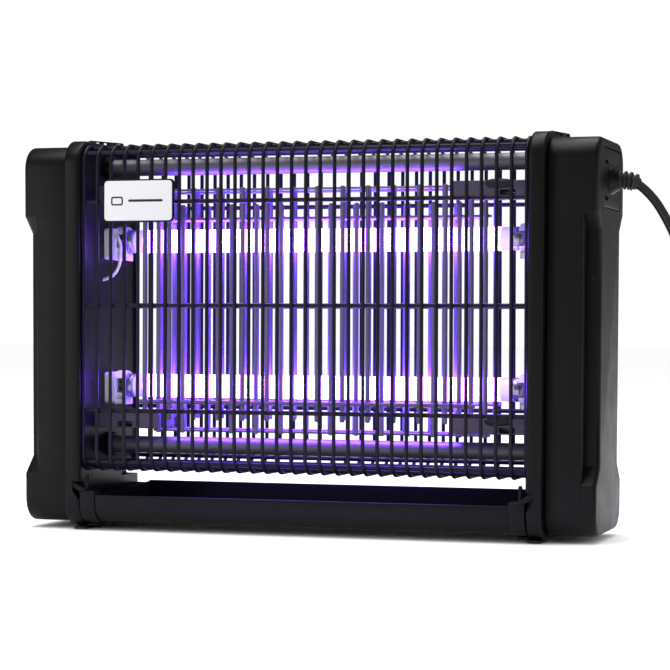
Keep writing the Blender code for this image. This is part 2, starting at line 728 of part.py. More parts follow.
# ---------------------------------------------------------------- electronics
def electronics():
    plate = PLATE_X + PLATE_THICK
    block("circuit_board", (plate + 0.0040, -0.030, 0.070), (plate + 0.0056, 0.030, 0.205),
          green_board())
    top = plate + 0.0056 + GAP
    block("lamp_ballast", (top, -0.020, 0.160), (top + 0.020, 0.020, 0.200), copper(), 0.002, 2)
    block("hv_transformer", (top, -0.017, 0.112), (top + 0.022, 0.017, 0.146), copper(), 0.002, 2)
    for name, y in (("first_capacitor", -0.014), ("second_capacitor", 0.014)):
        cylinder(name, (top, y, 0.088), (top + 0.014, y, 0.088), 0.008, black_plastic(), 14)
    block("terminal_block", (plate + 0.006, -0.012, 0.214), (plate + 0.018, 0.012, 0.226),
          white_plastic(), 0.001, 2)
    right = [(plate + 0.0025, 0.0, LAMP_UPPER_Z - 0.003), (plate + 0.0025, 0.020, 0.180),
             (plate + 0.0025, 0.033, 0.150), (plate + 0.0025, 0.020, 0.118),
             (plate + 0.0025, 0.0, LAMP_LOWER_Z + 0.003)]
    tube("right_lamp_leads", smooth_route(right, 14), 0.0011, white_plastic(), 1)
    left = [(plate + 0.0060, 0.0, 0.2400), (plate + 0.0045, 0.0, TUBE_UPPER_Z - 0.001),
            (PLATE_X, 0.0, TUBE_UPPER_Z), (0.100, 0.0, TUBE_UPPER_Z), (-0.100, 0.0, TUBE_UPPER_Z),
            (-PLATE_X, 0.0, TUBE_UPPER_Z), (-plate - 0.0035, 0.0, TUBE_UPPER_Z - 0.004),
            (-plate - 0.0040, 0.0, 0.225), (-plate - 0.0025, 0.0, LAMP_UPPER_Z + 0.003)]
    tube("left_lamp_leads", left, 0.0014, white_plastic(), 1)


# ---------------------------------------------------------------- mains lead
def smooth_route(places, count):
    """Points read at even spacing from a smooth curve through the given places."""
    places = [Vector(place) for place in places]
    ahead = [places[0] * 2 - places[1]] + places + [places[-1] * 2 - places[-2]]
    dense = []
    for index in range(1, len(ahead) - 2):
        a, b, c, d = ahead[index - 1:index + 3]
        for step in range(24):
            t = step / 24
            dense.append(0.5 * (2 * b + (c - a) * t + (2 * a - 5 * b + 4 * c - d) * t ** 2
                                + (3 * b - a - 3 * c + d) * t ** 3))
    dense.append(places[-1])
    reach = [0.0]
    for before, after in zip(dense, dense[1:]):
        reach.append(reach[-1] + (after - before).length)
    points = []
    index = 0
    for number in range(count):
        wanted = reach[-1] * number / (count - 1)
        while index < len(reach) - 2 and reach[index + 1] < wanted:
            index += 1
        part = (wanted - reach[index]) / max(reach[index + 1] - reach[index], 1e-9)
        points.append(dense[index].lerp(dense[index + 1], min(part, 1.0)))
    return points


def strain_relief():
    """Ribbed rubber boot that bends and tapers with the lead."""
    base = [(0.0, 0.0064), (0.0055, 0.0064)]
    ribs = []
    for rib in range(RIB_COUNT):
        start = 0.0060 + rib * RIB_PITCH
        crest = 0.0060 - rib * 0.00018
        ribs += [(start, crest - 0.0012), (start + 0.0006, crest), (start + 0.0024, crest),
                 (start + 0.0030, crest - 0.0012)]
    end = 0.0060 + RIB_COUNT * RIB_PITCH
    profile = base + ribs + [(end, 0.0040), (end + 0.0016, 0.0037)]
    route = smooth_route(RELIEF_ROUTE, 101)
    points = []
    for distance, radius in profile:
        place = distance / (end + 0.0016) * (len(route) - 1)
        index = min(int(place), len(route) - 2)
        points.append((route[index].lerp(route[index + 1], place - index), radius))
    data = tube_curve("strain_relief", [place for place, radius in points], 1.0, 5)
    for point, (place, radius) in zip(data.splines[0].points, points):
        point.radius = radius
    made = bpy.data.objects.new("strain_relief", data)
    collection(PARTS).objects.link(made)
    data.materials.append(black_rubber())
    return made


def mains_lead():
    strain_relief()
    tube("mains_cord", smooth_route(CORD_ROUTE, 32), CORD_RADIUS, black_rubber(), 2)
    half = COIL_WIDTH / 2
    corner = 0.0025
    profile = [(COIL_RADIUS + half - corner, COIL_HEIGHT), (COIL_RADIUS + half, COIL_HEIGHT - corner),
               (COIL_RADIUS + half, corner), (COIL_RADIUS + half - corner, 0.0),
               (COIL_RADIUS - half + corner, 0.0), (COIL_RADIUS - half, corner),
               (COIL_RADIUS - half, COIL_HEIGHT - corner), (COIL_RADIUS - half + corner, COIL_HEIGHT)]
    turned("cord_coil", profile, (*COIL_CENTRE, 0.0), (0.0, 0.0, 1.0), black_rubber(), 28)
    left = COIL_CENTRE[0] - COIL_RADIUS
    tie = block("cord_tie", (left - half - 0.0020, COIL_CENTRE[1] - 0.004, 0.0),
                (left + half + 0.0020, COIL_CENTRE[1] + 0.004, COIL_HEIGHT + 0.0020),
                black_plastic(), 0.0)
    cut(tie, block_mesh("tie_space", (left - half - 0.0005, COIL_CENTRE[1] - 0.006, -0.001),
                        (left + half + 0.0005, COIL_CENTRE[1] + 0.006, COIL_HEIGHT + 0.0004)))
    tail = [(PLUG_X, COIL_CENTRE[1] + 0.0255, PLUG_Z), (PLUG_X, PLUG_Y - 0.0249, PLUG_Z)]
    tube("cord_tail", tail, CORD_RADIUS, black_rubber(), 2)
    smooth(add_object("plug_body", plug_mesh(), black_rubber()))
    for side, offset in (("left", -0.0093), ("right", 0.0093)):
        x = PLUG_X + offset
        cylinder(f"plug_{side}_pin", (x, PLUG_Y + 0.0160, PLUG_Z), (x, PLUG_Y + 0.0350, PLUG_Z),
                 0.0020, brass(), 10)


def plug_mesh():
    """Flat two-pin plug body, narrowing to the lead, lying on its broad side."""
    work = bmesh.new()
    stations = ((-0.0245, 0.0042, 0.0040), (-0.0120, 0.0048, 0.0046), (-0.0080, 0.0120, 0.0062),
                (0.0000, 0.0165, 0.0068), (0.0130, 0.0172, 0.0068), (0.0157, 0.0172, 0.0066))
    rings = []
    for y, wide, tall in stations:
        ring = []
        for step in range(12):
            angle = math.tau * step / 12
            u = math.copysign(abs(math.cos(angle)) ** 0.7, math.cos(angle))
            v = math.copysign(abs(math.sin(angle)) ** 0.6, math.sin(angle))
            ring.append(work.verts.new((PLUG_X + wide * u, PLUG_Y + y, PLUG_Z + tall * v)))
        rings.append(ring)
    for lower, upper in zip(rings, rings[1:]):
        for step in range(12):
            after = (step + 1) % 12
            work.faces.new((lower[step], lower[after], upper[after], upper[step]))
    work.faces.new(rings[0])
    work.faces.new(list(reversed(rings[-1])))
    bmesh.ops.recalc_face_normals(work, faces=work.faces)
    mesh = bpy.data.meshes.new("plug_body")
    work.to_mesh(mesh)
    work.free()
    return mesh


def main():
    clear_scene()
    housings()
    feet()
    wire_guard()
    label_plate()
    tie_tubes()
    lamps()
    grid()
    grid_brackets()
    tray()
    electronics()
    mains_lead()


main()
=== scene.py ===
"""Looks of the electric insect zapper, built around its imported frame.

Metres, +Z up, front towards -Y.  Every piece rides on a body of the frame.
"""

import math

import bmesh
import bpy
from mathutils import Matrix, Vector, noise


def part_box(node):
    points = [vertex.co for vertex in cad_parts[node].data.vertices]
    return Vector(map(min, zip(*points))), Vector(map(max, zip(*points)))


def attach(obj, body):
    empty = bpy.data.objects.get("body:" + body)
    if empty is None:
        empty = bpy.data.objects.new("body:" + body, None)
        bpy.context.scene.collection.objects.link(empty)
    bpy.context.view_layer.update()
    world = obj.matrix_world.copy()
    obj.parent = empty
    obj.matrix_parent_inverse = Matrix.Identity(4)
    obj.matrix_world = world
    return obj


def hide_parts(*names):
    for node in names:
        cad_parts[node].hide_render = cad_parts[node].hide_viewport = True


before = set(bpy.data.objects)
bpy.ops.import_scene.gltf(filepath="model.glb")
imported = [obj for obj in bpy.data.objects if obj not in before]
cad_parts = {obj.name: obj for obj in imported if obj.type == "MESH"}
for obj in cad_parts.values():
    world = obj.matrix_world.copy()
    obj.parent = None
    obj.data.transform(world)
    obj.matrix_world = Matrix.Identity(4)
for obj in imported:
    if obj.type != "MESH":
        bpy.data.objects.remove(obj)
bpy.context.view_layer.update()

BODY = "body"
TRAY = "tray"
EAST = (1.0, 0.0, 0.0)
SIDES = (("left", -1.0), ("right", 1.0))

# ---------------------------------------------------------------- places, from the frame
rim_low, rim_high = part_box("right_end_frame")
cover_low, cover_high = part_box("right_end_cover")
label_low, label_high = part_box("label_backing")
panel_low, panel_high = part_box("terminal_cover")

CLEARANCE = 0.0003            # left between touching pieces

PLATE_X = 0.157               # inner face of each end frame
PLATE_THICK = 0.0025
SEAM_X = rim_high.x           # end frame meets end cover
COVER_X = cover_low.x
OUTER_X = cover_high.x        # outer face of each end cover
RIM_DEPTH = rim_high.y
RIM_TOP = 0.267
RIM_LOW = rim_low.z
RIM_RADIUS = 0.018
COVER_DEPTH = cover_high.y
COVER_LOW = cover_low.z
COVER_TOP = cover_high.z
COVER_RADIUS = 0.016
COVER_WALL = 0.0025
GRIP_X = 0.1905               # the grip channels are cut outside this plane
GRIP_DEPTH = 0.033            # half depth left between them
GRIP_LOW = 0.050
GRIP_TOP = 0.203
GRIP_RAMP = 0.0117            # height of the slope at each end of a channel
CORD_Z = 0.2368               # height of the mains lead at the housing

WIRE_RADIUS = 0.0013
WIRE_COUNT = 32
WIRE_SPAN = 0.309             # first to last wire loop
GUARD_DEPTH = 0.0485          # half depth to the middle of a guard wire
GUARD_LOW = 0.0415
GUARD_TOP = 0.2629
GUARD_RADIUS = 0.012
GUARD_RAIL_RADIUS = 0.0015
GUARD_RAILS = (0.082, 0.1537, 0.2240)

TUBE_RADIUS = 0.0058
TUBE_BORE = 0.0047
TUBE_HEIGHTS = {"upper": 0.2505, "lower": 0.0567}

LAMP_HEIGHTS = {"upper": 0.1988, "lower": 0.0980}
LAMP_HALF = 0.144
LAMP_RADIUS = 0.0079
CAP_RADIUS = 0.0081
CAP_LENGTH = 0.0082
LAMP_POWER = 90.0             # radiance of the glass, far above the white of the studio

ROD_COUNT = 28
ROD_FIRST_X = -0.1221
ROD_LAST_X = 0.1192
ROD_RADIUS = 0.0017
LIVE_DEPTH = 0.0165
LIVE_Z = (0.0750, 0.2350)
RETURN_DEPTH = 0.0135
RETURN_Z = (0.0660, 0.2235)
END_WIRE_RADIUS = 0.0009
THICK_RAIL_RADIUS = 0.0014
THICK_RAIL_Z = 0.0875
THIN_RAIL_RADIUS = 0.0010
THIN_RAIL_Z = 0.2135
WELD_DEPTH = 0.0003           # how far a rail sinks into its rods
BRACKET_ENDS = {"left": -0.1106, "right": 0.0962}
BRACKET_CORE = 0.0108         # half depth of a bracket's middle arm
BRACKET_SLOT = 0.0186         # the slots for the rods end here

TRAY_HALF = 0.1440
TRAY_FRONT = -0.0530
TRAY_BACK = 0.0480
TRAY_LOW = 0.0056
TRAY_LIP = 0.0245
TRAY_REAR = 0.0285
TRAY_WALL = 0.0018
TRAY_END_X = 0.1548
TRAY_END_TOP = 0.0270
TRAY_END_LOW = 0.0044

CORD_RADIUS = 0.0030
COIL_CENTRE = (0.325, 0.009)
COIL_TURNS = (0.039, 0.033, 0.027)     # radii of the turns, outermost first
TIE_HALF = 0.0094             # the strap round the coil: half width, height, corner, band
TIE_TOP = 0.0128
TIE_CORNER = 0.0030
TIE_THICK = 0.0010
PLUG_X = 0.3625
PLUG_Y = 0.0675
PLUG_Z = 0.0070

RELIEF_ROUTE = ((0.1950, 0.0, 0.2368), (0.2030, 0.0, 0.2368), (0.2100, 0.0, 0.2366),
                (0.2150, 0.0, 0.2356), (0.2190, 0.0, 0.2335))
CORD_ROUTE = (
    (0.1970, 0.0, 0.2368), (0.2030, 0.0, 0.2368), (0.2100, 0.0, 0.2366), (0.2150, 0.0, 0.2356),
    (0.2195, 0.0, 0.2332), (0.2262, 0.0, 0.2270), (0.2330, 0.0, 0.2180),
    (0.2420, -0.0004, 0.2010), (0.2500, -0.0030, 0.1790), (0.2560, -0.0080, 0.1500),
    (0.2590, -0.0145, 0.1150), (0.2600, -0.0210, 0.0800), (0.2620, -0.0258, 0.0500),
    (0.2680, -0.0287, 0.0250), (0.2800, -0.0298, 0.0080), (0.2920, -0.0300, 0.00325),
    (0.3022, -0.0300, 0.00305),
)


# ---------------------------------------------------------------- camera and light
def linked(name, data):
    """A new object, linked to the scene."""
    made = bpy.data.objects.new(name, data)
    bpy.context.scene.collection.objects.link(made)
    return made


def preset(node, **values):
    """Values for a node's sockets, each named with _ for a space."""
    for name, value in values.items():
        node.inputs[name.replace("_", " ")].default_value = value


def camera():
    """Long lens from the right, level with the body."""
    yaw = math.radians(17.16)
    tilt = math.radians(90.0 - 0.30)
    roll = math.radians(0.20)
    distance = 1.557
    data = bpy.data.cameras.new("camera")
    data.sensor_width = 36.0
    data.lens = 122.45
    data.clip_start = 0.05
    data.clip_end = 50.0
    made = linked("camera", data)
    made.matrix_world = (Matrix.Translation((0.01064, 0.0, 0.134))
                         @ Matrix.Rotation(yaw, 4, "Z") @ Matrix.Rotation(tilt, 4, "X")
                         @ Matrix.Rotation(roll, 4, "Z") @ Matrix.Translation((0.0, 0.0, distance)))
    bpy.context.scene.camera = made


def area_light(name, place, target, size, power):
    data = bpy.data.lights.new(name, "AREA")
    data.shape = "RECTANGLE"
    data.size = size[0]
    data.size_y = size[1]
    data.energy = power
    made = linked(name, data)
    made.location = place
    made.rotation_euler = (Vector(target) - Vector(place)).to_track_quat("-Z", "Y").to_euler()


def studio():
    """A white floor, a pale world that gloss sees dimmed, and three soft lamps."""
    scene = bpy.context.scene
    scene.view_settings.view_transform = "Standard"
    world = bpy.data.worlds.new("studio")
    scene.world = world
    world.use_nodes = True
    tree = world.node_tree
    backdrop = tree.nodes["Background"]
    preset(backdrop, Color=(1.0, 1.0, 1.0, 1.0))
    rays = tree.nodes.new("ShaderNodeLightPath")
    strength = tree.nodes.new("ShaderNodeMapRange")
    preset(strength, To_Min=1.04, To_Max=0.16)      # black flags round the set
    tree.links.new(rays.outputs["Is Glossy Ray"], strength.inputs["Value"])
    tree.links.new(strength.outputs["Result"], backdrop.inputs["Strength"])
    floor_mesh = bpy.data.meshes.new("floor")
    corners_xy = ((-12.0, -12.0, 0.0), (12.0, -12.0, 0.0), (12.0, 12.0, 0.0), (-12.0, 12.0, 0.0))
    floor_mesh.from_pydata(corners_xy, [], [(0, 1, 2, 3)])
    floor = linked("floor", floor_mesh)
    paint = bpy.data.materials.new("floor_white")
    paint.use_nodes = True
    preset(paint.node_tree.nodes["Principled BSDF"], Base_Color=(0.97, 0.97, 0.97, 1.0),
           Roughness=0.95, Specular_IOR_Level=0.1)
    floor_mesh.materials.append(paint)
    area_light("key", (-1.15, -1.45, 0.45), (-0.1, 0.0, 0.12), (0.7, 1.1), 8.0)
    area_light("fill", (1.8, 0.55, 0.5), (0.1, 0.0, 0.12), (1.0, 1.1), 5.5)
    area_light("top", (-0.1, 0.05, 1.7), (0.0, 0.0, 0.1), (2.0, 0.8), 34.0)


# ---------------------------------------------------------------- finishes
def noise_node(tree, place, scale, detail=4.0, rough=0.6):
    made = tree.nodes.new("ShaderNodeTexNoise")
    preset(made, Scale=scale, Detail=detail, Roughness=rough)
    tree.links.new(place, made.inputs["Vector"])
    return made.outputs["Fac"]


def span(tree, value, low, high, start=0.3, end=0.7):
    """A noise value mapped on to a range."""
    made = tree.nodes.new("ShaderNodeMapRange")
    preset(made, From_Min=start, From_Max=end, To_Min=low, To_Max=high)
    tree.links.new(value, made.inputs["Value"])
    return made.outputs["Result"]


def blend_colour(tree, factor, first, second):
    made = tree.nodes.new("ShaderNodeMix")
    made.data_type = "RGBA"
    tree.links.new(factor, made.inputs["Factor"])
    for socket, value in ((made.inputs[6], first), (made.inputs[7], second)):
        if isinstance(value, tuple):
            socket.default_value = (*value, 1.0)
        else:
            tree.links.new(value, socket)
    return made.outputs[2]


def finish(name, colour, other, rough, grain, grain_depth, patch=18.0, metallic=0.0,
           specular=0.5, stretch=(1.0, 1.0, 1.0), worn=None, worn_at=(0.66, 0.74)):
    """Two close colours in soft patches, uneven gloss, a fine grain and rubbed spots.

    rough is the lowest and highest roughness.  grain is the size of the surface texture
    in features per metre, and grain_depth its height in metres.
    """
    made = bpy.data.materials.new(name)
    made.use_nodes = True
    tree = made.node_tree
    link = tree.links.new
    shader = tree.nodes["Principled BSDF"]
    preset(shader, Metallic=metallic, Specular_IOR_Level=specular)
    where = tree.nodes.new("ShaderNodeTexCoord")
    mapping = tree.nodes.new("ShaderNodeMapping")
    preset(mapping, Scale=stretch)
    link(where.outputs["Object"], mapping.inputs["Vector"])
    place = mapping.outputs["Vector"]
    patches = noise_node(tree, place, patch)
    tone = blend_colour(tree, span(tree, patches, 0.0, 1.0), colour, other)
    if worn is not None:
        rubbed = noise_node(tree, place, patch * 6.0, 6.0, 0.7)
        tone = blend_colour(tree, span(tree, rubbed, 0.0, 1.0, *worn_at), tone, worn)
    link(tone, shader.inputs["Base Color"])
    gloss = noise_node(tree, place, patch * 3.1, 5.0)
    link(span(tree, gloss, rough[0], rough[1]), shader.inputs["Roughness"])
    texture = noise_node(tree, place, grain, 3.0, 0.5)
    bump = tree.nodes.new("ShaderNodeBump")
    preset(bump, Strength=0.5, Distance=grain_depth)
    link(texture, bump.inputs["Height"])
    link(bump.outputs["Normal"], shader.inputs["Normal"])
    return made


def lamp_finish():
    """Phosphor-coated glass, lit along its length and darker behind the caps."""
    made = finish("lamp_glass", (0.80, 0.76, 0.95), (0.74, 0.70, 0.92), (0.08, 0.16),
                  700.0, 0.00001)
    tree = made.node_tree
    link = tree.links.new
    shader = tree.nodes["Principled BSDF"]
    where = tree.nodes.new("ShaderNodeTexCoord")
    apart = tree.nodes.new("ShaderNodeSeparateXYZ")
    link(where.outputs["Object"], apart.inputs["Vector"])
    along = tree.nodes.new("ShaderNodeMath")
    along.operation = "ABSOLUTE"
    link(apart.outputs["X"], along.inputs[0])
    end = LAMP_HALF - CAP_LENGTH
    lit_end = end - 0.0135
    dark_end = end - 0.0080
    dimming = span(tree, along.outputs["Value"], 1.0, 0.0, lit_end, dark_end)
    tint = blend_colour(tree, dimming, (0.40, 0.24, 0.95), (0.19, 0.06, 1.0))
    link(tint, shader.inputs["Emission Color"])
    power = span(tree, dimming, 0.85, LAMP_POWER, 0.0, 1.0)
    link(power, shader.inputs["Emission Strength"])
    return made


paints = {
    "shell": finish("shell_black", (0.0018, 0.0018, 0.0020), (0.0027, 0.0027, 0.0030), (0.36, 0.46),
                    2600, 0.00002, 14, specular=0.13, worn=(0.009, 0.009, 0.010)),
    "tray": finish("tray_black", (0.0028, 0.0028, 0.0030), (0.0040, 0.0040, 0.0043), (0.38, 0.50),
                   2200, 0.00002, 16, specular=0.12, worn=(0.008, 0.008, 0.009)),
    # the blue-violet tint in these black colours is painted lamp glow: the violet light of the lamps
    # put into the wire's colour
    "wire": finish("guard_black_painted_violet_glow", (0.0040, 0.0034, 0.0075), (0.0060, 0.0052, 0.0110), (0.34, 0.46),
                   1500, 0.00003, 40, specular=0.16, worn=(0.012, 0.011, 0.018)),
    "rubber": finish("rubber_black", (0.010, 0.010, 0.011), (0.015, 0.015, 0.016), (0.55, 0.72),
                     1800, 0.00003, 30, specular=0.3),
    "cord": finish("cord_black", (0.009, 0.009, 0.010), (0.013, 0.013, 0.014), (0.38, 0.52),
                   900, 0.00002, 24, specular=0.3),
    "white": finish("holder_white", (0.72, 0.71, 0.74), (0.66, 0.65, 0.70), (0.36, 0.50),
                    1600, 0.00002, 30, worn=(0.55, 0.54, 0.58)),
    "label": finish("label_white", (0.53, 0.53, 0.54), (0.51, 0.51, 0.52), (0.34, 0.44),
                    1500, 0.00001, 12, specular=0.3),
    # the violet tint in these grey colours is painted lamp glow: the violet light of the lamps put into
    # the insulator's colour
    "insulator": finish("insulator_grey_painted_violet_glow", (0.075, 0.058, 0.105), (0.056, 0.044, 0.080), (0.42, 0.58),
                        1400, 0.00003, 30, specular=0.3, worn=(0.07, 0.06, 0.09)),
    "tube": finish("tube_zinc", (0.150, 0.140, 0.165), (0.120, 0.112, 0.135), (0.42, 0.55),
                   900, 0.00002, 20, 0.6, stretch=(0.15, 1.0, 1.0), worn=(0.10, 0.09, 0.12)),
    # the purple-blue tint in these zinc colours, rubbed spots too, is painted lamp glow: the violet
    # light of the lamps put into the metal's colour
    "rod": finish("rod_zinc_painted_violet_glow", (0.150, 0.130, 0.200), (0.115, 0.100, 0.160), (0.34, 0.50),
                  1300, 0.00003, 45, 0.5, stretch=(1.0, 1.0, 0.2), worn=(0.07, 0.06, 0.10)),
    "fixing": finish("fixing_steel", (0.45, 0.44, 0.47), (0.38, 0.37, 0.40), (0.25, 0.40),
                     1200, 0.00002, 60, 0.9),
    # the violet tint in these metal colours is painted lamp glow: the light of the lamps put into the
    # caps' colour
    "cap": finish("cap_metal", (0.46, 0.43, 0.58), (0.38, 0.35, 0.50), (0.22, 0.36),
                  900, 0.00002, 60, 0.9, stretch=(1.0, 0.3, 0.3)),
    "brass": finish("pin_brass", (0.70, 0.54, 0.26), (0.62, 0.46, 0.22), (0.20, 0.34),
                    1500, 0.00001, 80, 1.0),
    "board": finish("board_green", (0.02, 0.15, 0.06), (0.03, 0.19, 0.08), (0.30, 0.45),
                    900, 0.00003, 120.0),
    "winding": finish("winding_copper", (0.50, 0.24, 0.12), (0.42, 0.19, 0.09), (0.32, 0.46),
                      1400, 0.00008, 200, 0.7, stretch=(1.0, 1.0, 4.0)),
    "can": finish("capacitor_case", (0.012, 0.013, 0.020), (0.018, 0.019, 0.028), (0.25, 0.35),
                  900, 0.00001, 60.0),
    "lead": finish("lead_white", (0.70, 0.69, 0.72), (0.62, 0.61, 0.66), (0.38, 0.50),
                   1600, 0.00002, 50.0),
    "screw": finish("screw_zinc", (0.62, 0.60, 0.66), (0.50, 0.48, 0.55), (0.22, 0.36),
                    1500, 0.00002, 90, 0.9),
    "ink": finish("ink_black", (0.010, 0.010, 0.012), (0.016, 0.016, 0.018), (0.40, 0.50),
                  1500, 0.00001, 60, specular=0.2),
    "lamp": lamp_finish(),
}


def piece(name, mesh, paint, *replaced, body=BODY):
    """A mesh or curve as a piece that rides on a body and stands in for CAD nodes."""
    made = linked(name, mesh)
    mesh.materials.clear()
    mesh.materials.append(paints[paint])
    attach(made, body)
    if replaced:
        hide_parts(*replaced)
    return made


def outward(work):
    """Turns the faces of a closed solid outwards."""
    bmesh.ops.recalc_face_normals(work, faces=work.faces)
    if work.calc_volume(signed=True) < 0.0:
        bmesh.ops.reverse_faces(work, faces=work.faces)


def settled(work, name):
    """A bmesh as a mesh; the bmesh is freed."""
    mesh = bpy.data.meshes.new(name)
    work.to_mesh(mesh)
    work.free()
    return mesh


def solid(name, work, paint, *replaced, body=BODY, angle=38.0):
    """A closed bmesh as a piece, smooth but for edges sharper than the angle."""
    outward(work)
    mesh = settled(work, name)
    mesh.shade_smooth()
    mesh.set_sharp_from_angle(angle=math.radians(angle))
    return piece(name, mesh, paint, *replaced, body=body)


def round_curve(name, runs, sides, depth=1.0):
    """Round wires as one curve: each run is its points, its radius and whether it closes.

    The radius is one number, or a list with one for each point.
    """
    data = bpy.data.curves.new(name, "CURVE")
    data.dimensions = "3D"
    data.bevel_depth = depth
    data.bevel_resolution = sides
    data.use_fill_caps = True
    for points, radius, closes in runs:
        radii = radius if isinstance(radius, list) else [radius] * len(points)
        line = data.splines.new("POLY")
        line.points.add(len(points) - 1)
        for point, place, size in zip(line.points, points, radii):
            point.co = (*place, 1.0)
            point.radius = size
        line.use_cyclic_u = closes
        line.use_smooth = True
    return data


def loft(rings, closed=True):
    """Rings with equal counts of points joined by quads, with flat ends when closed."""
    work = bmesh.new()
    rows = [[work.verts.new(point) for point in ring] for ring in rings]
    count = len(rows[0])
    for first, second in zip(rows, rows[1:]):
        for index in range(count):
            after = (index + 1) % count
            work.faces.new((first[index], first[after], second[after], second[index]))
    if closed:
        work.faces.new(rows[0])
        work.faces.new(list(reversed(rows[-1])))
    bmesh.ops.remove_doubles(work, verts=work.verts, dist=0.000001)
    return work


def join(*works):
    """Several bmeshes as one; the others are freed."""
    whole = works[0]
    for other in works[1:]:
        held = settled(other, "held")
        whole.from_mesh(held)
        bpy.data.meshes.remove(held)
    return whole


def arc(u, v, radius, start, steps):
    """Points of a quarter turn about (u, v) from a start angle in degrees."""
    angles = [math.radians(start + 90.0 * step / steps) for step in range(steps + 1)]
    return [(u + radius * math.cos(angle), v + radius * math.sin(angle)) for angle in angles]


def corners(u_low, u_high, v_low, v_high, radius, steps):
    """The four arcs of a rounded rectangle, anticlockwise from high u and low v."""
    left = u_low + radius
    right = u_high - radius
    return [arc(right, v_low + radius, radius, -90.0, steps),
            arc(right, v_high - radius, radius, 0.0, steps),
            arc(left, v_high - radius, radius, 90.0, steps),
            arc(left, v_low + radius, radius, 180.0, steps)]


def outline(depth, low, high, radius, levels):
    """Rounded rectangle in Y and Z with a point on both sides at each of some levels."""
    arcs = corners(-depth, depth, low, high, radius, 10)
    rear = [(depth, level) for level in levels]
    front = [(-depth, level) for level in reversed(levels)]
    return arcs[0] + rear + arcs[1] + arcs[2] + front + arcs[3]


def inset(points, amount):
    """A closed outline moved inwards by an even amount."""
    moved = []
    count = len(points)
    for index in range(count):
        before = Vector(points[index - 1])
        here = Vector(points[index])
        after = Vector(points[(index + 1) % count])
        first = (here - before).normalized()
        second = (after - here).normalized()
        normal = Vector((-first.y, first.x)) + Vector((-second.y, second.x))
        normal.normalize()
        across = max(normal.dot(Vector((-first.y, first.x))), 0.35)
        moved.append(tuple(here + normal * (amount / across)))
    return moved


def at_x(x, points):
    return [Vector((x, y, z)) for y, z in points]


def edge_rings(points, x, way, radius, steps=4, entering=True):
    """Rings that round the edge where an outline's side meets the flat at x.

    way is the direction from the flat into the solid.  Entering rings run from the flat
    to the side, and others from the side to the flat.
    """
    rings = []
    for step in range(steps + 1):
        angle = math.pi / 2 * step / steps
        rings.append(at_x(x + way * radius * (1.0 - math.sin(angle)),
                          inset(points, radius * (1.0 - math.cos(angle)))))
    return rings[::-1] if entering else rings


def rising(low, high):
    """Opposite corners of a box, lowest and highest."""
    return (Vector([min(pair) for pair in zip(low, high)]),
            Vector([max(pair) for pair in zip(low, high)]))


def soften_all(work, radius, segments=3):
    bmesh.ops.bevel(work, geom=list(work.edges), offset=radius, segments=segments,
                    profile=0.5, affect="EDGES", clamp_overlap=True)
    return work


def soft_block(low, high, radius, segments=3):
    """A box with every edge rounded."""
    low, high = rising(low, high)
    work = bmesh.new()
    bmesh.ops.create_cube(work, size=1.0)
    bmesh.ops.scale(work, vec=high - low, verts=work.verts)
    bmesh.ops.translate(work, vec=(low + high) / 2, verts=work.verts)
    return soften_all(work, radius, segments)


def plate_block(low, high, radius, edge, axis, steps=5):
    """A plate with rounded corners about one axis and softly rounded edges."""
    low, high = rising(low, high)
    u, v = [index for index in range(3) if index != axis]
    shape = sum(corners(low[u], high[u], low[v], high[v], radius, steps), [])
    rings = []
    for place, way, turns in ((low[axis], 1.0, (3, 2, 1, 0)), (high[axis], -1.0, (0, 1, 2, 3))):
        for turn in turns:
            angle = math.pi / 6 * turn
            ring = []
            for a, b in inset(shape, edge * (1.0 - math.cos(angle))):
                point = Vector()
                point[axis] = place + way * edge * (1.0 - math.sin(angle))
                point[u] = a
                point[v] = b
                ring.append(point)
            rings.append(ring)
    return loft(rings)


def turned(profile, centre, along, steps=32, hollow=False):
    """A profile of (distance along, radius) pairs turned about an axis.

    The ends are closed flat, or joined to each other when the profile is a closed section.
    """
    centre = Vector(centre)
    turn = Vector(along).to_track_quat("Z", "Y").to_matrix()
    rings = []
    for distance, radius in profile:
        ring = []
        for step in range(steps):
            angle = math.tau * step / steps
            ring.append(centre + turn @ Vector((radius * math.cos(angle),
                                                radius * math.sin(angle), distance)))
        rings.append(ring)
    return loft(rings + [rings[0]], closed=False) if hollow else loft(rings)


def carve(work, cutters, operation="DIFFERENCE", soften=0.0):
    """A Boolean of one bmesh with others, its new edges slightly broken."""
    held = []
    for number, source in enumerate([work] + list(cutters)):
        outward(source)
        held.append(linked(f"held_{number}", settled(source, f"held_{number}")))
    for item in held[1:]:
        step = held[0].modifiers.new("carve", "BOOLEAN")
        step.operation = operation
        step.solver = "EXACT"
        step.object = item
    bpy.context.view_layer.update()
    graph = bpy.context.evaluated_depsgraph_get()
    result = bpy.data.meshes.new_from_object(held[0].evaluated_get(graph))
    for item in held:
        mesh = item.data
        bpy.data.objects.remove(item, do_unlink=True)
        bpy.data.meshes.remove(mesh)
    carved = bmesh.new()
    carved.from_mesh(result)
    bpy.data.meshes.remove(result)
    bmesh.ops.remove_doubles(carved, verts=carved.verts, dist=0.000002)
    if soften > 0.0:
        sharp = [edge for edge in carved.edges
                 if len(edge.link_faces) == 2 and edge.calc_face_angle(0.0) > math.radians(45.0)]
        bmesh.ops.bevel(carved, geom=sharp, offset=soften, segments=2, profile=0.5,
                        affect="EDGES", clamp_overlap=True)
    return carved


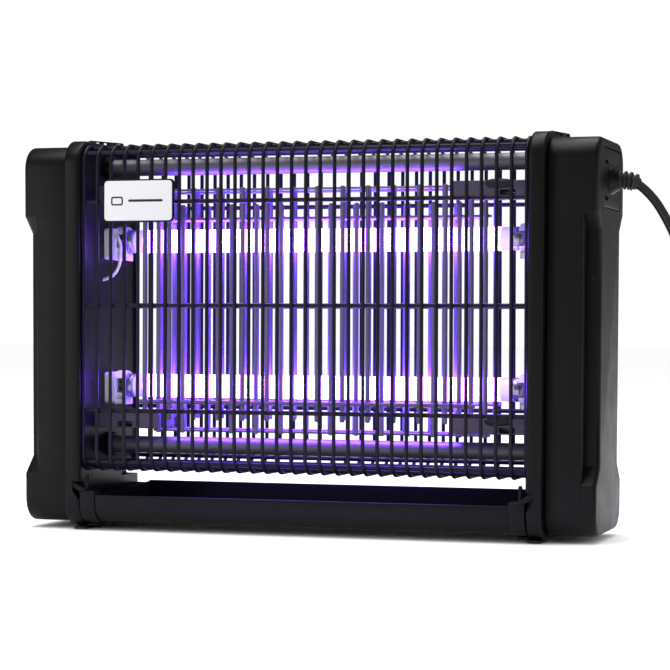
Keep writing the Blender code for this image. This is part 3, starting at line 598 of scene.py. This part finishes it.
def smooth_route(places, count):
    """Points read at even spacing from a smooth curve through the given places."""
    places = [Vector(place) for place in places]
    ahead = [places[0] * 2 - places[1]] + places + [places[-1] * 2 - places[-2]]
    dense = []
    for index in range(1, len(ahead) - 2):
        a, b, c, d = ahead[index - 1:index + 3]
        for step in range(24):
            t = step / 24
            dense.append(0.5 * (2 * b + (c - a) * t + (2 * a - 5 * b + 4 * c - d) * t ** 2
                                + (3 * b - a - 3 * c + d) * t ** 3))
    dense.append(places[-1])
    reach = [0.0]
    for before, after in zip(dense, dense[1:]):
        reach.append(reach[-1] + (after - before).length)
    points = []
    index = 0
    for number in range(count):
        wanted = reach[-1] * number / (count - 1)
        while index < len(reach) - 2 and reach[index + 1] < wanted:
            index += 1
        part = (wanted - reach[index]) / max(reach[index + 1] - reach[index], 1e-9)
        points.append(dense[index].lerp(dense[index + 1], min(part, 1.0)))
    return points


# ---------------------------------------------------------------- mains lead
REST_Z = CORD_RADIUS + 0.00003           # middle of a lead that lies on the floor


def eased(value, start, end):
    part = min(max((value - start) / (end - start), 0.0), 1.0)
    return 0.5 - 0.5 * math.cos(math.pi * part)


def coil_points():
    """A neat two-layer coil: three turns inwards, one step up, three turns outwards."""
    outer, middle, inner = COIL_TURNS
    changes = ((middle - outer, 260.0), (inner - middle, 620.0),
               (middle - inner, 1260.0), (outer - middle, 1620.0))
    last_turn = 1890.0
    step = 7.5
    points = []
    for number in range(int(last_turn / step) + 1):
        turn = number * step
        radius = outer + sum(change * eased(turn, start, start + 100.0)
                             for change, start in changes)
        height = REST_Z + 2 * CORD_RADIUS * eased(turn, 940.0, 1040.0)
        angle = math.radians(turn - 90.0)
        points.append(Vector((COIL_CENTRE[0] + radius * math.cos(angle),
                              COIL_CENTRE[1] + radius * math.sin(angle), height)))
    return points


def mains_lead():
    """The lead down to the floor, round its coil and up into the plug."""
    lead = smooth_route(CORD_ROUTE, 72)
    join_at = Vector((COIL_CENTRE[0], COIL_CENTRE[1] - COIL_TURNS[0], REST_Z))
    run_in = [lead[-1].lerp(join_at, part) for part in (0.35, 0.7)]
    coil = coil_points()
    way = Vector((PLUG_X, PLUG_Y - 0.0200, PLUG_Z)) - coil[-1]
    tail = []
    for part in [step / 10 for step in range(1, 11)]:
        shift = eased(part, 0.0, 0.55)
        tail.append(coil[-1] + Vector((way.x * shift, way.y * part, way.z * shift)))
    data = round_curve("mains_lead", [(lead + run_in + coil + tail, 1.0, False)], 6, CORD_RADIUS)
    cable = piece("mains_lead", data, "cord", "mains_cord", "cord_coil", "cord_tail")
    boot = strain_relief()
    tie = cord_tie()
    plug = plug_pieces()


def strain_relief():
    """Ribbed rubber boot that bends and tapers with the lead."""
    rib_pitch = 0.0031
    first = 0.0108
    profile = [(0.0, 0.0052), (first - 0.0010, 0.0052), (first - 0.0004, 0.0050)]
    for rib in range(4):
        start = first + rib * rib_pitch
        crest = 0.0063 - rib * 0.00012
        valley = crest - 0.0016
        profile += [(start, valley), (start + 0.0003, crest - 0.0005), (start + 0.0007, crest),
                    (start + 0.0016, crest), (start + 0.0020, crest - 0.0005),
                    (start + 0.0023, valley), (start + 0.0027, valley - 0.0001)]
    neck = 0.0236
    length = neck + 0.0010
    profile += [(neck - 0.0003, 0.0044), (neck, 0.0041), (length, 0.0036)]
    route = smooth_route(RELIEF_ROUTE, 101)
    places = []
    radii = []
    for distance, radius in profile:
        place = distance / length * (len(route) - 1)
        index = min(int(place), len(route) - 2)
        places.append(route[index].lerp(route[index + 1], place - index))
        radii.append(radius)
    data = round_curve("strain_relief_boot", [(places, radii, False)], 10)
    return piece("strain_relief_boot", data, "rubber", "strain_relief")


def cord_tie():
    """A hook-and-loop strap round the bundle."""
    middle = COIL_CENTRE[0] - COIL_TURNS[1]
    path = sum(corners(middle - TIE_HALF, middle + TIE_HALF, 0.0, TIE_TOP, TIE_CORNER, 5), [])
    half = 0.0038
    edge = 0.0041
    outer = inset(path, -0.00035)
    outer_edge = inset(path, -0.00015)
    inner_edge = inset(path, TIE_THICK - 0.00055)
    inner = inset(path, TIE_THICK - 0.00035)
    sections = ((outer, -half), (outer_edge, -edge), (inner_edge, -edge), (inner, -half),
                (inner, half), (inner_edge, edge), (outer_edge, edge), (outer, half))
    lift = 0.00036
    rings = [[Vector((a, COIL_CENTRE[1] + offset, b + lift)) for a, b in shape]
             for shape, offset in sections]
    return solid("cord_strap", loft(rings + [rings[0]], closed=False), "shell", "cord_tie")


def plug_pieces():
    """Flat two-pin plug with a ribbed neck, and its brass pins."""
    stations = [(-0.0245, 0.0036, 0.0034), (-0.0243, 0.0042, 0.0040)]
    for rib in range(3):
        y = -0.0230 + rib * 0.0034
        stations += [(y, 0.0043, 0.0041), (y + 0.0004, 0.0049, 0.0046), (y + 0.0016, 0.0050, 0.0047),
                     (y + 0.0021, 0.0044, 0.0042)]
    stations += [(-0.0120, 0.0048, 0.0045), (-0.0098, 0.0078, 0.0053), (-0.0080, 0.0118, 0.0061),
                 (-0.0055, 0.0143, 0.0065), (-0.0020, 0.0158, 0.0067), (0.0030, 0.0167, 0.0068),
                 (0.0100, 0.0172, 0.0068), (0.0138, 0.0172, 0.0068), (0.0151, 0.0169, 0.0066),
                 (0.0157, 0.0160, 0.0058)]
    rings = []
    for y, wide, tall in stations:
        ring = []
        for step in range(40):
            angle = math.tau * step / 40
            u = math.copysign(abs(math.cos(angle)) ** 0.7, math.cos(angle))
            v = math.copysign(abs(math.sin(angle)) ** 0.6, math.sin(angle))
            ring.append(Vector((PLUG_X + wide * u, PLUG_Y + y, PLUG_Z + tall * v)))
        rings.append(ring)
    made = [solid("plug", loft(rings), "rubber", "plug_body", angle=50.0)]
    profile = [(0.0, 0.0020), (0.0172, 0.0020), (0.0184, 0.0017), (0.0190, 0.0010)]
    for side, offset in (("left", -0.0093), ("right", 0.0093)):
        pin = turned(profile, (PLUG_X + offset, PLUG_Y + 0.0155, PLUG_Z), (0.0, 1.0, 0.0), 24)
        made.append(solid(f"plug_pin_{side}", pin, "brass", f"plug_{side}_pin"))
    return made


# ---------------------------------------------------------------- end frames and covers
def lean(work):
    """Moulding draft: the end housings stand slightly closer together at the bottom."""
    for vert in work.verts:
        reach = abs(vert.co.x)
        if reach <= SEAM_X:
            moved = reach - 0.0014 + 0.0003 * (reach - PLATE_X) / (SEAM_X - PLATE_X)
        else:
            moved = reach - 0.0011 + 0.0019 * (reach - SEAM_X) / (OUTER_X - SEAM_X)
        moved += 0.0015 * (vert.co.z - 0.135) / 0.24
        vert.co.x = math.copysign(moved, vert.co.x)
    return work


def end_frame(side, sign):
    """Plate with its deep rim, open to the cover, with the tray's ledge and latch notch."""
    levels = (0.06, 0.12, 0.18)
    rim = outline(RIM_DEPTH, RIM_LOW, RIM_TOP, RIM_RADIUS, levels)
    pocket = outline(0.0425, 0.0080, 0.2600, 0.012, levels)
    seam = sign * SEAM_X
    rings = [at_x(sign * (PLATE_X + PLATE_THICK), pocket), at_x(seam, pocket)]
    rings += edge_rings(rim, seam, -sign, 0.0010, 3)
    rings += edge_rings(rim, sign * PLATE_X, sign, 0.0024, 6, entering=False)
    notch = loft([[Vector((sign * x, y, z)) for x, z in ((0.1560, 0.0180), (0.1560, 0.0335),
                                                         (0.1622, 0.0335), (0.1622, 0.0270))]
                  for y in (-RIM_DEPTH - 0.002, -0.0460)])
    slot = soft_block((sign * (PLATE_X - 0.002), 0.0220, 0.0330),
                      (sign * (SEAM_X - 0.0012), RIM_DEPTH + 0.002, 0.0408), 0.0008)
    ledge = plate_block((sign * 0.1490, -0.040, RIM_LOW),
                        (sign * (PLATE_X + 0.001), 0.045, TRAY_END_LOW - 0.0004), 0.0015, 0.0006, 2)
    socket = [(0.0, 0.0088), (0.0032, 0.0084), (0.0046, 0.0081), (0.0050, 0.0077),
              (0.0050, 0.0066), (0.0046, 0.0061), (0.0010, 0.0061)]
    parts = [carve(loft(rings), [notch, slot]), ledge]
    for height in TUBE_HEIGHTS.values():
        parts.append(turned(socket, (sign * (PLATE_X + 0.0005), 0.0, height), (-sign, 0.0, 0.0), 40))
    solid(f"{side}_frame", lean(join(*parts)), "shell", f"{side}_end_frame")


def hanging_eye(side, sign):
    """Thin ridge on top of the rim with three windows, for a chain."""
    ridge = plate_block((sign * 0.1628, -0.0180, RIM_TOP - 0.0020), (sign * 0.1652, 0.0420, 0.2700),
                        0.0022, 0.0004, 0)
    windows = [soft_block((sign * 0.160, start, RIM_TOP + 0.0002),
                          (sign * 0.168, start + 0.0105, RIM_TOP + 0.0021), 0.0005, 2)
               for start in (-0.0085, 0.0050, 0.0290)]
    eye = lean(carve(ridge, windows))
    for vert in eye.verts:
        vert.co.z += 0.0026 * (vert.co.y + 0.018) / 0.060 - 0.0011
    solid(f"{side}_hanging_eye", eye, "shell")


def grip_levels():
    """Heights at which a cover's outline needs points for its grip channels."""
    ramp = [GRIP_RAMP * step / 8 for step in range(9)]
    return ([GRIP_LOW - GRIP_RAMP + rise for rise in ramp] + [0.09, 0.13, 0.17]
            + [GRIP_TOP + rise for rise in ramp])


def grip_shape(full):
    """A cover's outline narrowed by the grip channels."""
    shape = []
    for y, z in full:
        limit = COVER_DEPTH
        if GRIP_LOW - GRIP_RAMP < z < GRIP_TOP + GRIP_RAMP:
            below = min((z - GRIP_LOW + GRIP_RAMP) / GRIP_RAMP, 1.0)
            above = min((GRIP_TOP + GRIP_RAMP - z) / GRIP_RAMP, 1.0)
            limit = COVER_DEPTH - (COVER_DEPTH - GRIP_DEPTH) * min(below, above)
        shape.append((math.copysign(min(abs(y), limit), y), z))
    return shape


def end_cover(side, sign):
    """Deep shell whose outer corners are cut back into a grip channel, front and back."""
    full = outline(COVER_DEPTH, COVER_LOW, COVER_TOP, COVER_RADIUS, grip_levels())
    shape = grip_shape(full)
    inner = outline(COVER_DEPTH - COVER_WALL, COVER_LOW + COVER_WALL, COVER_TOP - COVER_WALL,
                    COVER_RADIUS - COVER_WALL, grip_levels())
    start = sign * COVER_X
    step_x = sign * GRIP_X
    rings = [at_x(sign * (GRIP_X - 0.0026), inner), at_x(start, inner)]
    rings += edge_rings(full, start, sign, 0.0008, 3)
    rounding = 0.0014
    for ring in edge_rings(full, step_x, -sign, rounding, 4, entering=False):
        mixed = []
        for rounded, (y, z), cut in zip(ring, full, shape):
            share = min(abs(y - cut[0]) / rounding, 1.0)
            mixed.append(Vector((rounded.x, y, z)).lerp(rounded, share))
        rings.append(mixed)
    rings.append(at_x(step_x, shape))
    rings += edge_rings(shape, sign * OUTER_X, -sign, 0.0030, 6, entering=False)
    shell = loft(rings)
    if side == "right":
        opening = plate_block((OUTER_X - 0.0024, -0.0267, panel_low.z - CLEARANCE),
                              (OUTER_X + 0.003, 0.0320, panel_high.z + CLEARANCE), 0.0012, 0.0002, 0)
        shell = carve(shell, [opening])
    solid(f"{side}_cover", lean(shell), "shell", f"{side}_end_cover")


def terminal_cover():
    """Panel over the mains terminals: a raised insert round the lead and two clip slots."""
    panel = plate_block((OUTER_X - 0.0023, -0.0262, panel_low.z + 0.0004),
                        (OUTER_X - 0.0001, panel_high.y - 0.0004, panel_high.z - 0.0004),
                        0.0012, 0.0005, 0)
    around = soft_block((OUTER_X - 0.0008, -0.0235, 0.2245), (OUTER_X + 0.001, 0.0235, 0.2475),
                        0.0002, 1)
    insert = soft_block((OUTER_X - 0.0012, -0.0228, 0.2252), (OUTER_X + 0.002, 0.0228, 0.2468),
                        0.0002, 1)
    groove = carve(around, [insert])
    slots = [soft_block((OUTER_X - 0.0016, -0.0232, z - 0.0014), (OUTER_X + 0.001, -0.0120, z + 0.0014),
                        0.0005, 2) for z in (0.2242, 0.2478)]
    hole = turned([(0.0, 0.0069), (0.008, 0.0069)], (OUTER_X - 0.006, 0.0, CORD_Z), EAST, 40)
    solid("terminal_panel", lean(carve(panel, [groove] + slots + [hole])), "shell", "terminal_cover")
    collar = [(0.0, 0.0098), (0.0012, 0.0097), (0.0026, 0.0089), (0.0040, 0.0078), (0.0052, 0.0071),
              (0.0060, 0.0067), (0.0064, 0.0060), (0.0060, 0.0054), (0.0010, 0.0052)]
    work = turned(collar, (OUTER_X - 0.0012, 0.0, CORD_Z), EAST, 48)
    solid("lead_collar", lean(work), "shell")


def feet():
    """Four flat pads, set in a little from the housings."""
    for side, sign in SIDES:
        for place in ("front", "rear"):
            name = f"{place}_{side}_foot"
            low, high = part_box(name)
            shift = Vector((-sign * 0.0024, 0.0, 0.0))
            solid(f"{name}_pad", plate_block(low + shift, high + shift, 0.0028, 0.0005, 2),
                  "rubber", name)


# ---------------------------------------------------------------- wire guard and label
def wire_guard():
    """Closed loops welded to rails along the front, the back, the top and the bottom."""
    loop = sum(corners(-GUARD_DEPTH, GUARD_DEPTH, GUARD_LOW, GUARD_TOP, GUARD_RADIUS, 10), [])
    runs = []
    for number in range(WIRE_COUNT):
        x = -WIRE_SPAN / 2 + WIRE_SPAN * number / (WIRE_COUNT - 1)
        runs.append((at_x(x, loop), WIRE_RADIUS, True))
    touching = GUARD_DEPTH - WIRE_RADIUS - GUARD_RAIL_RADIUS + 0.0006
    rails = [(touching, height) for height in GUARD_RAILS]
    for depth, rise in ((0.0445, 0.0035), (0.0330, 0.0), (0.0120, 0.0)):
        rails += [(depth, GUARD_LOW + rise + 0.0016), (depth, GUARD_TOP - rise - 0.0016)]
    end = PLATE_X - CLEARANCE
    for depth, height in rails:
        for y in (-depth, depth):
            runs.append(([(x, y, height) for x in (-end, 0.0, end)], GUARD_RAIL_RADIUS, False))
    piece("guard_wires", round_curve("guard_wires", runs, 4), "wire", "wire_guard")


def label():
    """White rating plate with a plain mark, in a black holder clipped to the guard."""
    solid("label_holder", plate_block(label_low, label_high, 0.0032, 0.0007, 1, 8), "shell",
          "label_backing")
    low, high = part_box("label_plate")
    solid("rating_plate", plate_block(low, high, 0.0024, 0.00025, 1, 8), "label", "label_plate")
    origin = Vector((low.x, low.y, (low.z + high.z) / 2))

    def mark(first, last, radius):
        return plate_block(origin + Vector(first), origin + Vector(last), radius, 0.00003, 1)

    ring = carve(mark((0.0050, -0.00012, -0.0032), (0.0136, 0.0001, 0.0028), 0.0014),
                 [mark((0.0060, -0.0010, -0.0022), (0.0126, 0.0010, 0.0018), 0.0007)])
    bar = mark((0.0175, -0.00012, -0.0008), (0.0425, 0.0001, 0.0008), 0.0007)
    solid("plate_mark", join(ring, bar), "ink")


# ---------------------------------------------------------------- tubes, lamps and holders
def tie_tubes():
    """Two open tubes between the end frames."""
    end = PLATE_X - 0.0008
    bevel = 0.0004
    section = [(0.0, TUBE_BORE), (0.0, TUBE_RADIUS - bevel), (bevel, TUBE_RADIUS),
               (2 * end - bevel, TUBE_RADIUS), (2 * end, TUBE_RADIUS - bevel), (2 * end, TUBE_BORE)]
    for place, height in TUBE_HEIGHTS.items():
        work = turned(section, (-end, 0.0, height), EAST, 40, hollow=True)
        solid(f"{place}_tube", work, "tube", f"{place}_tie_tube")


def lamp(place, height):
    """Glass tube with rounded shoulders, and a stepped metal cap with two pins at each end."""
    body = f"{place}_lamp"
    inner = LAMP_HALF - CAP_LENGTH
    shoulder = []
    for step in range(8):
        angle = math.pi / 2 * step / 7
        shoulder.append((0.0020 * (1.0 - math.cos(angle)), 0.0062 + 0.0017 * math.sin(angle)))
    glass = shoulder + [(2 * inner * part, LAMP_RADIUS)
                        for part in (0.03, 0.08, 0.2, 0.35, 0.5, 0.65, 0.8, 0.92, 0.97)]
    glass += [(2 * (inner - CLEARANCE) - distance, radius) for distance, radius in shoulder[::-1]]
    work = turned(glass, (-inner + CLEARANCE, 0.0, height), EAST, 48)
    solid(f"{place}_glass", work, "lamp", f"{place}_lamp_tube", body=body, angle=60.0)
    cap = [(0.0, 0.0074), (0.0003, 0.0079), (0.0008, CAP_RADIUS), (0.0052, CAP_RADIUS),
           (0.0056, 0.0078), (0.0066, 0.0078), (0.0073, 0.0075), (0.0079, 0.0066), (0.0082, 0.0050)]
    pin = [(0.0, 0.0012), (0.0052, 0.0012), (0.0057, 0.0009), (0.0060, 0.0004)]
    for side, sign in SIDES:
        parts = [turned(cap, (sign * inner, 0.0, height), (sign, 0.0, 0.0), 48)]
        for z in (-0.0025, 0.0025):
            parts.append(turned(pin, (sign * (LAMP_HALF - 0.001), 0.0, height + z),
                                (sign, 0.0, 0.0), 20))
        solid(f"{place}_cap_{side}", join(*parts), "cap", f"{place}_lamp_{side}_cap", body=body)


def lampholder(place, side, sign, height):
    """Socket block with a slotted collar round the cap and a slanting lip below."""
    name = f"{place}_{side}_lampholder"
    front = sign * 0.1470
    behind = front - sign * 0.0002
    inward = (-sign, 0.0, 0.0)
    block = plate_block((front, -0.0090, height - 0.0125),
                        (sign * (PLATE_X - CLEARANCE), 0.0090, height + 0.0092), 0.0026, 0.0007, 0)
    collar = turned([(0.0, 0.0106), (0.0040, 0.0104), (0.0069, 0.0102), (0.0075, 0.0097)],
                    (sign * 0.1480, 0.0, height), inward, 56)
    whole = carve(block, [collar], "UNION")
    seat = turned([(0.0, CAP_RADIUS + 0.0004), (0.009, CAP_RADIUS + 0.0004)],
                  (behind, 0.0, height), inward, 56)
    recess = turned([(0.0, 0.0046), (0.0050, 0.0046)], (sign * 0.1510, 0.0, height), inward, 32)
    mouth = soft_block((sign * 0.1385, -0.0130, height - 0.0050),
                       (behind, 0.0, height + 0.0050), 0.0012, 3)
    whole = carve(whole, [seat, recess, mouth], soften=0.0003)
    lip = loft([at_x(x, ((-0.0078, height - 0.0128), (0.0078, height - 0.0128),
                         (0.0078, height - 0.0095), (-0.0078, height - 0.0095)))
                for x in (sign * 0.1480, sign * 0.1415)])
    solid(f"{name}_shell", join(whole, soften_all(lip, 0.0006)), "white", name)
    screw_y = 0.0160
    screw_z = height + 0.0035
    screw = turned([(0.0, 0.0030), (0.0007, 0.0030), (0.0014, 0.0024), (0.0017, 0.0014)],
                   (sign * (PLATE_X + 0.0002), screw_y, screw_z), inward, 28)
    cross = [soft_block((sign * (PLATE_X - 0.0010), screw_y - a, screw_z - b),
                        (sign * (PLATE_X - 0.0030), screw_y + a, screw_z + b), 0.0001, 1)
             for a, b in ((0.0017, 0.0003), (0.0003, 0.0017))]
    solid(f"{name}_screw", carve(screw, cross), "screw")


# ---------------------------------------------------------------- high-voltage grid
def rod_x(number):
    return ROD_FIRST_X + (ROD_LAST_X - ROD_FIRST_X) * number / (ROD_COUNT - 1)


def weld_bead(x, seam, height, flank, radius):
    """A slightly uneven bead beside a rod where a bar crosses it."""
    bead = bmesh.new()
    bmesh.ops.create_uvsphere(bead, u_segments=12, v_segments=8, radius=1.0)
    swell = 1.0 + 0.18 * noise.noise(Vector((x * 900.0, height * 700.0, flank * 3.0)))
    bmesh.ops.scale(bead, vec=(0.0012 * swell, 0.0010, 0.0011 * swell + radius * 0.3),
                    verts=bead.verts)
    bmesh.ops.translate(bead, vec=(x + flank * ROD_RADIUS * 0.72, seam, height), verts=bead.verts)
    return bead


def rod_frame(name, first, depth, ends, bars, replaced):
    """Every second rod of one side of the grid, with domed ends, cross bars and welds."""
    low, high = ends
    length = high - low
    dome = []
    for step in range(6):
        angle = math.pi / 2 * step / 5
        dome.append((0.0011 * (1.0 - math.cos(angle)), ROD_RADIUS * (0.30 + 0.70 * math.sin(angle))))
    shape = dome + [(length * part, ROD_RADIUS) for part in (0.1, 0.3, 0.5, 0.7, 0.9)]
    shape += [(length - distance, radius) for distance, radius in reversed(dome)]
    parts = []
    for number in range(first, ROD_COUNT, 2):
        x = rod_x(number)
        parts.append(turned(shape, (x, depth, low), (0.0, 0.0, 1.0), 20))
        for height, bar_depth, radius in bars:
            seam = depth + (bar_depth - depth) * 0.62
            parts += [weld_bead(x, seam, height, flank, radius) for flank in (-1.0, 1.0)]
    overhang = 0.0036
    left = rod_x(first) - overhang
    span_x = rod_x(ROD_COUNT - 2 + first) + overhang - left
    for height, bar_depth, radius in bars:
        bar = [(0.0, radius * 0.5), (0.0003, radius * 0.9), (0.0007, radius), (span_x * 0.5, radius),
               (span_x - 0.0007, radius), (span_x - 0.0003, radius * 0.9), (span_x, radius * 0.5)]
        parts.append(turned(bar, (left, bar_depth, height), EAST, 18))
    solid(name, join(*parts), "rod", replaced, angle=60.0)


def grid():
    """Live and return rods interleaved at the front, and again at the back."""
    outside = LIVE_DEPTH + ROD_RADIUS + THICK_RAIL_RADIUS - WELD_DEPTH
    inside = RETURN_DEPTH - ROD_RADIUS - THIN_RAIL_RADIUS + WELD_DEPTH
    for place, face, live_first in (("front", -1.0, 0), ("rear", 1.0, 1)):
        rod_frame(f"{place}_live_rods", live_first, face * LIVE_DEPTH, LIVE_Z,
                  ((LIVE_Z[1] - 2 * END_WIRE_RADIUS, face * LIVE_DEPTH, END_WIRE_RADIUS),
                   (THICK_RAIL_Z, face * outside, THICK_RAIL_RADIUS)), f"{place}_live_grid")
        rod_frame(f"{place}_return_rods", 1 - live_first, face * RETURN_DEPTH, RETURN_Z,
                  ((RETURN_Z[0] + 2 * END_WIRE_RADIUS, face * RETURN_DEPTH, END_WIRE_RADIUS),
                   (THIN_RAIL_Z, face * inside, THIN_RAIL_RADIUS)), f"{place}_return_grid")


def grid_brackets():
    """Insulating arms that hold the rods in their slots, with lead sleeves on the right."""
    sleeve = [(0.0, 0.0008), (0.0012, 0.0022), (0.0036, 0.0031), (0.0095, 0.0034),
              (0.0152, 0.0031), (0.0178, 0.0022), (0.0190, 0.0008)]
    for side, sign in SIDES:
        last_rod = rod_x(0) if side == "left" else rod_x(ROD_COUNT - 1)
        end = BRACKET_ENDS[side]
        slot_end = last_rod + sign * (ROD_RADIUS + 0.0045)
        for place in ("upper", "lower"):
            name = f"{place}_{side}_grid_bracket"
            low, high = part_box(name)
            arm = plate_block((sign * (PLATE_X - CLEARANCE), low.y, low.z),
                              (end + sign * 0.0001, high.y, high.z), 0.0016, 0.0007, 1)
            cutters = [soft_block((end - sign * 0.002, face * BRACKET_CORE, low.z - 0.002),
                                  (slot_end, face * BRACKET_SLOT, high.z + 0.002), 0.0004, 2)
                       for face in (-1.0, 1.0)]
            cutters.append(soft_block((sign * 0.1300, low.y - 0.002, low.z + 0.0010),
                                      (sign * 0.1410, high.y + 0.002, low.z + 0.0048), 0.0008, 2))
            solid(f"{name}_arm", carve(arm, cutters, soften=0.0003), "insulator", name)
            if side == "right":
                work = turned(sleeve, (0.1200, low.y + 0.0012, high.z - 0.0022), EAST, 28)
                solid(f"{name}_sleeve", work, "rubber")


# ---------------------------------------------------------------- catch tray
LIP_ROUND = 0.0007            # height of the rounding on the trough's lip


def trough_outline(amount):
    """Side profile of the trough, front to back, moved inwards by an amount."""
    front = TRAY_FRONT + amount
    back = TRAY_BACK - amount
    low = TRAY_LOW + amount
    radius = 0.0140 - amount
    heel = 0.004
    return ([(front, TRAY_LIP - LIP_ROUND)]
            + arc(front + radius, low + radius, radius, 180.0, 8)
            + arc(back - heel, low + heel, heel, 270.0, 6)
            + [(back, TRAY_REAR - LIP_ROUND)])


def lip_round(edge, way, top):
    """Rounded top of a trough wall, from its inner side to its outer one."""
    angles = [math.radians(36.0 * step) for step in (1, 2, 3, 4)]
    return [(edge + way * TRAY_WALL * (0.5 + 0.5 * math.cos(angle)),
             top - LIP_ROUND + LIP_ROUND * math.sin(angle)) for angle in angles]


def trough():
    """Open trough with closed ends and a rounded lip."""
    section = (trough_outline(0.0) + lip_round(TRAY_BACK, -1.0, TRAY_REAR)[::-1]
               + trough_outline(TRAY_WALL)[::-1] + lip_round(TRAY_FRONT, 1.0, TRAY_LIP))
    end = TRAY_HALF - 0.0002
    parts = [loft([at_x(x, section) for x in (-end, -0.08, 0.0, 0.08, end)])]
    wall = trough_outline(0.0008)
    for sign in (-1.0, 1.0):
        parts.append(loft([at_x(sign * (TRAY_HALF - 0.0004), wall),
                           at_x(sign * (TRAY_HALF - TRAY_WALL), wall)]))
    solid("tray_trough", join(*parts), "tray", "catch_tray", body=TRAY)


def tray_cap(side, sign):
    """End cap of the trough with its latch tab and thumb lever."""
    front = TRAY_FRONT - 0.0008
    back = TRAY_BACK + 0.0008
    shape = (arc(front + 0.0148, TRAY_END_LOW + 0.0148, 0.0148, 180.0, 8)
             + arc(back - 0.0060, TRAY_END_LOW + 0.0060, 0.0060, 270.0, 8)
             + arc(back - 0.0030, TRAY_END_TOP - 0.0030, 0.0030, 0.0, 8)
             + arc(front + 0.0012, TRAY_END_TOP - 0.0012, 0.0012, 90.0, 8))
    rings = edge_rings(shape, sign * (TRAY_HALF + 0.0001), sign, 0.0003, 2)
    rings += edge_rings(shape, sign * TRAY_END_X, -sign, 0.0005, 2, entering=False)
    dip = soft_block((sign * 0.1400, -0.0430, TRAY_END_TOP - 0.0040),
                     (sign * 0.1600, 0.0440, TRAY_END_TOP + 0.003), 0.0012, 3)
    tab = plate_block((sign * 0.1499, -0.0505, TRAY_END_TOP - 0.008),
                      (sign * 0.1523, -0.0465, 0.0376), 0.0018, 0.0006, 0)
    lever = loft([[Vector((sign * x, y, z)) for x, z in ((0.1510, 0.0250), (0.1510, 0.0277),
                                                         (0.1560, 0.0303), (0.1612, 0.0330),
                                                         (0.1612, 0.0306), (0.1560, 0.0277))]
                  for y in (-0.0530, -0.0470)])
    whole = join(carve(loft(rings), [dip]), tab, soften_all(lever, 0.0005))
    solid(f"{side}_tray_cap", whole, "tray", f"{side}_tray_end", body=TRAY)


# ---------------------------------------------------------------- inner wiring
def holder_lead():
    """The insulated lead that hangs in a curve from the upper left lampholder."""
    points = smooth_route(((-0.1462, -0.0110, 0.2035), (-0.1440, -0.0120, 0.2005),
                           (-0.1424, -0.0122, 0.1955), (-0.1426, -0.0122, 0.1890),
                           (-0.1440, -0.0118, 0.1810), (-0.1490, -0.0115, 0.1745),
                           (-0.1572, -0.0110, 0.1715)), 40)
    piece("left_holder_lead", round_curve("left_holder_lead", [(points, 0.0011, False)], 4), "lead")


HIDDEN = {
    "board": ("circuit_board",), "white": ("terminal_block",),
    "winding": ("hv_transformer", "lamp_ballast"),
    "can": ("first_capacitor", "second_capacitor"),
    "lead": ("left_lamp_leads", "right_lamp_leads"),
    "fixing": ("tie_rod", "left_rod_nut", "right_rod_nut"),
}


def repaint():
    """Finishes for the hidden CAD nodes that stay as they are."""
    for paint, names in HIDDEN.items():
        for name in names:
            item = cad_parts[name]
            item.data.materials.clear()
            item.data.materials.append(paints[paint])


# ---------------------------------------------------------------- the whole
camera()
mains_lead()
terminal_cover()
feet()
wire_guard()
label()
tie_tubes()
grid()
grid_brackets()
trough()
for end_side, end_sign in SIDES:
    end_frame(end_side, end_sign)
    hanging_eye(end_side, end_sign)
    end_cover(end_side, end_sign)
    tray_cap(end_side, end_sign)
    for lamp_place, lamp_height in LAMP_HEIGHTS.items():
        lampholder(lamp_place, end_side, end_sign, lamp_height)
for lamp_place, lamp_height in LAMP_HEIGHTS.items():
    lamp(lamp_place, lamp_height)
holder_lead()
repaint()
studio()
